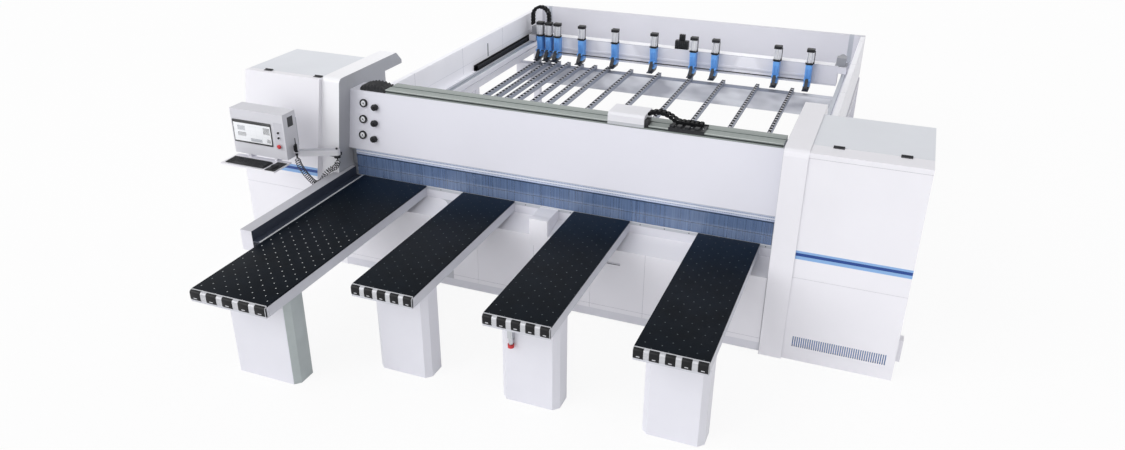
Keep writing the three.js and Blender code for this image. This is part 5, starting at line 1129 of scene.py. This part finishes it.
MOUSE_LENGTH, MOUSE_HALF, MOUSE_HEIGHT, MOUSE_BACK, PAD_THICK = 104, 29.0, 30.0, 132.0, 5.0
low, high = span("mouse_and_pad")
pad_top = low[2] + PAD_THICK
pad = brick(low, (high[0], high[1], pad_top), 8.0, 1.6)
mouse_x, mouse_y = (low[0] + high[0]) / 2, high[1] - MOUSE_BACK
half_turn = np.linspace(0, math.pi, 13)
rings = []
for s in np.linspace(0.0, 1.0, 15):
    wide = MOUSE_HALF * math.sin(math.pi * (0.08 + 0.84 * s)) ** 0.45
    tall = MOUSE_HEIGHT * math.sin(math.pi * (0.05 + 0.86 * s ** 0.85)) ** 0.7
    section = np.stack([wide * np.cos(half_turn), tall * np.sin(half_turn) ** 0.8], -1)
    section = np.vstack([section, [(-wide, -1.0), (wide, -1.0)]])
    along = np.full(len(section), mouse_y + MOUSE_LENGTH * (s - 0.5))
    rings.append(np.stack([mouse_x + section[:, 0], along, pad_top + 1.2 + section[:, 1]], -1))
mouse = skin(np.stack(rings)[:, ::-1])
wheel = turned("x", [(6, -4), (8.5, -3), (8.5, 3), (6, 4)], sides=16)
wheel = repeated(wheel, [(mouse_x, mouse_y - 30, pad_top + 24)])
piece("mouse_pad", pad, "black_rubber", "console", ["mouse_and_pad"])
piece("mouse_shell", together(mouse, wheel), "black_plastic", "console")
print(len(keys), "keys")

# %% [markdown]
# ## Housing, arm, bracket and fence
# These keep their packed skin. Other tones on them, such as the dark vent in the console's side, the grey
# box behind it, the fence's slate face and its bright foot strip, are told apart by the place on the part.

# %% Finishes of the console side
SIDE_X, VENT_Y, VENT_Z, VENT_PITCH = (-2397.5, -2395.0), (-838.0, -756.0), (1668.0, 1766.0), 11.0
STRIP_FRONT, STRIP_X, STRIP_Z, BOX_FRONT = -901.0, (-2514.0, -2410.0), (1446.0, 1722.0), -711.0
case = painted("console_paint", colour(212, 212, 219), 0.42)
vent = case.x.within(*SIDE_X) * case.y.within(*VENT_Y) * case.z.within(*VENT_Z)
slots = case.z.phase(VENT_PITCH) < 0.6
strip = (case.y < STRIP_FRONT) * case.x.within(*STRIP_X) * case.z.within(*STRIP_Z)
case.layers(case.mottle(0.015, 300.0), (strip, colour(200, 200, 208)),
            (case.y > BOX_FRONT, colour(172, 174, 182)), (vent * (1.0 - slots * 0.08), colour(22, 23, 27)))
case.bump(strip * -0.5 + case.noise(6.0, 1.0) * 0.05, 1.0)

ARM_TOP = 1333.6
arm = painted("arm_paint", colour(228, 228, 234), 0.4)
arm.layers(arm.mottle(0.02, 200.0), (arm.z > ARM_TOP, colour(196, 197, 205)))

SLATE_X, FOOT_X, FOOT_LEVEL = -2144.6, -2079.0, 963.4
fence_top = span("squaring_fence")[1][2]
fence = painted("fence_finish", colour(228, 227, 235), 0.4)
foot_strip = (fence.x > FOOT_X) * (fence.z > FOOT_LEVEL)
grain = fence.noise(14.0, 3.0, (1, 30, 1))
fence.layers(fence.mottle(0.02, 200.0), (fence.z > fence_top - 0.6, colour(190, 190, 197)),
             (fence.x > SLATE_X, colour(44, 51, 66)), (foot_strip, colour(236, 238, 242)))
fence.set("Metallic", foot_strip * 0.3)
fence.set("Roughness", foot_strip.ramp(0, 1, 0.42, 0.25) * grain.ramp(0.3, 0.7, 0.9, 1.1))
special.update(console_housing="console_paint", console_arm="arm_paint", squaring_fence="fence_finish",
               console_bracket="black_steel", keyboard_tray="painted_white")
print("fence top", round(float(fence_top), 1))

# %% [markdown]
# ## Cabinets and covers
# The cabinets are folded sheet with doors, so they show thin joints, a blue trim strip with a darker middle
# and black hinges on their tops. The right one has a row of louvres, and behind them lies a blue sheet
# whose colour their cut edges take. All of these are straight bands, and a band is one test of a
# coordinate.

# %% Cabinet finish
TRIM, TRIM_CORE, FRONT_Y, RIGHT_DOORS = (1018.0, 1098.0), (1049.0, 1077.0), -426.6, 944.6
UPPER_JOINT, LOWER_JOINT = (1938.0, 1941.0), (836.0, 838.5)
LOUVRE_Y, LOUVRE_Z = (FRONT_Y, -411.0), (146.0, 254.0)
HINGE_LEVEL = span("left_lid")[1][2] + 0.6
HINGE_BLACK = colour(30, 31, 36)
right_start = span("right_cabinet")[0][0]
left_low, left_high = span("left_cabinet")
cabinet = painted("cabinet_paint", PAINT)
on_left = cabinet.x.within(left_low[0] + 0.4, left_high[0] - 0.4)
on_right = cabinet.x.within(right_start + 0.4, right_start + RIGHT_DOORS)
facing = (cabinet.y < FRONT_Y) * (on_left + on_right)
joint = facing * (cabinet.z.within(*UPPER_JOINT) + cabinet.z.within(*LOWER_JOINT))
louvre = cabinet.y.within(*LOUVRE_Y) * cabinet.z.within(*LOUVRE_Z) * on_right
cabinet.layers(cabinet.mottle(0.012, 420.0), (joint, colour(186, 186, 194)),
               (facing * cabinet.z.within(*TRIM), colour(134, 174, 222)),
               (facing * cabinet.z.within(*TRIM_CORE), colour(22, 64, 138)),
               (louvre, colour(96, 132, 184)), (cabinet.z > HINGE_LEVEL, HINGE_BLACK))
cabinet.bump(joint * -1.0 + cabinet.noise(6.0, 1.0) * 0.04, 0.8)
painted("louvre_blue", colour(112, 154, 214), 0.5)
back = brick((right_start + 62.0, -411.5, 142.0), (right_start + 882.0, -408.0, 258.0), 0.5, 0.4, "y")
piece("louvre_back", back, "louvre_blue", "machine")

lids = painted("lid_paint", colour(222, 225, 232), 0.36)
lids.layers(lids.mottle(0.02, 500.0), (lids.z > HINGE_LEVEL, HINGE_BLACK))
COLUMN_INSIDE = (2196.5, 2199.5)
column = painted("column_paint", PAINT)
# painted shade on the inner faces of both columns, which are painted grey; painted light on the left column,
# whose paint is a lighter copy of the right one's
shaded_inner_face = column.x.one("ABSOLUTE").within(*COLUMN_INSIDE)
column.layers(column.mottle(0.012, 420.0),
              (column.x < 0.0, column.mottle(0.012, 420.0, colour(247, 247, 251))),
              (shaded_inner_face, column.mottle(0.03, 300.0, colour(172, 174, 181))))
special.update(left_cabinet="cabinet_paint", right_cabinet="cabinet_paint", left_lid="lid_paint",
               right_lid="lid_paint", left_column="column_paint", right_column="column_paint")
print("hinges above", round(float(HINGE_LEVEL), 1))

# %% [markdown]
# ## Saw table and base cover
# The front edge of the saw table has a row of dark rivets below a bright rule. The base's front sheets show
# seams and a dark grip slot. The left one ends in a round corner, with the grey frame past it, and a pale
# cover stands over the junction box.

# %% Saw table and base cover
table_low, table_high = span("saw_table")
RIVET_PITCH, RIVET_START, RIVET_LEVEL, RIVET_RADIUS, RULE_WIDTH = 234.0, 828.0, 939.0, 5.5, 7.0
bed = drawn("saw_bed", colour(196, 199, 206), 0.35, axis=0, metallic=0.45)
front_edge = bed.y < table_low[1] + 0.4
du = (bed.x.phase(RIVET_PITCH, RIVET_START) - 0.5) * RIVET_PITCH
dv = bed.z - RIVET_LEVEL
rivet = ((du * du + dv * dv).one("SQRT") < RIVET_RADIUS) * front_edge
metal = bed.noise(9.0, 4.0, (60.0, 1, 1)).ramp(0.3, 0.7).mix(colour(186, 189, 196), colour(202, 205, 212))
bed.layers(metal, (front_edge * (bed.z > table_high[2] - RULE_WIDTH), colour(232, 233, 238)),
           (rivet, colour(40, 42, 48)))

SEAM_PITCH, SEAM_START, SEAM_SHARE, FOOT_SEAM = 1110.0, 2196.0, 0.0028, (158.0, 161.0)
HANDLE_X, HANDLE_Z, APRON_FRONT, SHELF_LEVEL = (722.0, 852.0), (623.0, 649.0), -427.0, 780.0
SHEET_END, SHEET_TOP, SHEET_CORNER, FRAME_END = -1033.0, 1060.0, 140.0, -905.0
apron = painted("base_paint", colour(238, 237, 243), 0.45)
handle = apron.x.within(*HANDLE_X) * apron.z.within(*HANDLE_Z) * (apron.y > APRON_FRONT + 0.6)
seam = (apron.x.phase(SEAM_PITCH, SEAM_START) < SEAM_SHARE) * (apron.y < APRON_FRONT + 1.0)
on_shelf = apron.y > APRON_FRONT + 0.5
rise = on_shelf * (apron.y - APRON_FRONT + SHELF_LEVEL - apron.z) + apron.z
du, dv = apron.x - (SHEET_END - SHEET_CORNER), rise - (SHEET_TOP - SHEET_CORNER)
past_corner = (du > 0.0) * (dv > 0.0) * ((du * du + dv * dv).one("SQRT") > SHEET_CORNER)
apron.layers(apron.mottle(0.015, 500.0),
             ((apron.x < FRAME_END) * ((apron.x > SHEET_END) + past_corner), colour(190, 191, 198)),
             (seam + apron.z.within(*FOOT_SEAM), colour(184, 185, 193)), (handle, colour(70, 73, 80)))
box = brick((-65.0, -430.0, 668.0), (121.0, -335.4, 945.6), 3.0, 2.0)
piece("junction_cover", box, "painted_white", "machine")
special.update(saw_table="saw_bed", base_front_cover="base_paint")
print("rivets every", RIVET_PITCH)

# %% [markdown]
# ## Beam rail, carriage hood and stands
# The rail is one drawn section with a dark groove and a bright upper front edge. The trolley's hood is
# white with a grey foot, and its arm behind the beam is darker. The stands show a joint under the rails
# that carry the tables, and part of the first stand's right leg is bare and grey.

# %% Rail, hood and stands
rail_low, rail_high = span("beam_rail")
GROOVE_HALF, GROOVE_DEPTH, EDGE_HEIGHT, EDGE_DEPTH, STRIPES = 7.0, 9.6, 3.5, 5.0, (30.0, 120.0)
height = float(rail_high[2] - rail_low[2])
rail = drawn("rail_section", colour(140, 148, 146), 0.38, axis=0, metallic=0.3)
lines = rail.noise(9.0, 4.0, (60.0, 1, 1)).ramp(0.3, 0.7).mix(colour(134, 142, 140), colour(152, 160, 157))
level, depth = rail.z - rail_low[2], rail.y - rail_low[1]
groove = (depth < GROOVE_DEPTH) * level.within(height * 0.5 - GROOVE_HALF, height * 0.5 + GROOVE_HALF)
rail.layers(lines, (sum(rail.y.within(y, y + 4.0) for y in STRIPES), colour(100, 108, 106)),
            (groove, colour(58, 62, 62)),
            ((level > height - EDGE_HEIGHT) * (depth < EDGE_DEPTH), colour(206, 211, 208)))

HOOD_FOOT, ARM_LEVEL = 1888.5, 1700.0
hood = painted("trolley_paint", colour(232, 232, 238), 0.4)
hood.layers(hood.mottle(0.012, 300.0), (hood.z < HOOD_FOOT, colour(196, 198, 204)),
            (hood.z < ARM_LEVEL, colour(120, 124, 130)))

LEG_SIDE, LEG_CORNER, STAND_JOINT, STAND_RAILS = -1367.0, 46.0, (846.0, 849.0), 852.0
stand = painted("stand_paint", colour(224, 224, 232), 0.42)
bare_side = stand.x.within(LEG_SIDE - LEG_CORNER, LEG_SIDE + 1.0) * (stand.z < STAND_JOINT[0])
stand.layers(stand.mottle(0.015, 300.0), (bare_side, stand.mottle(0.06, 180.0, colour(172, 180, 181))),
             (stand.z > STAND_RAILS, stand.mottle(0.03, 300.0, colour(200, 201, 209))),
             (stand.z.within(*STAND_JOINT), colour(170, 171, 180)))

LIP_HEIGHT = 4.0
cover = painted("cover_paint", colour(226, 226, 236), 0.36)
# painted shade: the lowest millimetres of the beam's cover are painted darker, as the shade line under its
# edge
shaded_lip = cover.z < span("beam_cover")[0][2] + LIP_HEIGHT
cover.layers(cover.mottle(0.01, 600.0), (shaded_lip, colour(190, 192, 202)))
special.update(beam_rail="rail_section", aligner_carriage="trolley_paint", beam_cover="cover_paint",
               **{f"table_stand_{i}": "stand_paint" for i in range(1, 5)})
print("rail height", round(height, 1))

# %% [markdown]
# ## Sheet metal that stays
# The housings, covers, walls and frames are plain sheet metal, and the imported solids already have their
# shape. They keep their skin and take the finish of their material slot.

# %% CAD skins
for row in frame["record"]["subparts"]:
    node = frame["nodes"][row["node"]]
    if node.hide_render:
        continue
    name = special.get(row["node"], row["material_slot"])
    node.data.materials.clear()
    node.data.materials.append(finishes[name])
print("CAD nodes still shown:", sorted(n for n, o in frame["nodes"].items() if not o.hide_render))

# %% [markdown]
# ## Floor and light
# A pale seamless floor and a white surround, which is plain white where the camera or a reflection sees it
# and dimmer as light. Two wide lamps far away shine from the upper left and from in front, so they are even
# over the whole machine, and a soft square lamp over the rear lights the inside of the left wall.

# %% Floor, lights and world
WHITE, FLOOR_HALF, FLOOR_GLOW, SURROUND_LIGHT = (1.0, 1.0, 1.0, 1.0), 60000.0, 0.9, 0.62


def seen_directly(tree):
    """1 for a ray from the camera, off a glossy face or through a clear one."""
    ray = tree.nodes.new("ShaderNodeLightPath").outputs
    seen = Wire(tree, ray["Is Camera Ray"])
    for kind in ("Is Glossy Ray", "Is Transmission Ray"):
        seen = seen.calc("MAXIMUM", seen, Wire(tree, ray[kind]))
    return seen


def lamp(name, kind, strength, place, aim):
    """A lamp at a place in metres, turned to another place."""
    made = bpy.data.objects.new(name, bpy.data.lights.new(name, kind))
    bpy.context.scene.collection.objects.link(made)
    made.data.energy, made.location = strength, place
    made.rotation_euler = (Vector(aim) - made.location).to_track_quat("-Z", "Y").to_euler()
    return made


floor_finish = Finish("studio_floor", colour(252, 252, 253), 0.9)
floor_finish.set("Base Color", floor_finish.mottle(0.004, 900.0))
tree = floor_finish.tree
glow = floor_finish.any.node("Emission", {"Color": WHITE, "Strength": 1.0})
lit = Wire(tree, floor_finish.surface.outputs["BSDF"])
blend = floor_finish.any.node("MixShader", {0: seen_directly(tree) * FLOOR_GLOW, 1: lit, 2: glow})
tree.links.new(blend.socket, tree.nodes["Material Output"].inputs["Surface"])
floor = shape("studio_floor", brick((-FLOOR_HALF, -FLOOR_HALF, -20.0), (FLOOR_HALF, FLOOR_HALF, 0.0)),
              "studio_floor")

key_light = lamp("key_light", "SUN", 1.05, (-7.44, -6.96, 6.36), (0, 0, 0))
front_light = lamp("front_light", "SUN", 0.75, (-2.4, -11.64, 1.44), (0, 0, 0))
key_light.data.angle, front_light.data.angle = math.radians(50.0), math.radians(60.0)
rear_light = lamp("rear_light", "AREA", 55.0, (0.4, 2.8, 3.6), (-2.2, 3.9, 1.2))
rear_light.data.shape, rear_light.data.size, rear_light.visible_camera = "SQUARE", 3.5, False

world = bpy.data.worlds.new("surround")
bpy.context.scene.world = world
world.use_nodes = True
tree = world.node_tree
surround = tree.nodes["Background"]
tree.links.new(seen_directly(tree).ramp(0, 1, SURROUND_LIGHT, 1.0).socket, surround.inputs["Strength"])
surround.inputs["Color"].default_value = WHITE
bpy.context.scene.view_settings.view_transform = "Standard"
print("world", world.name)
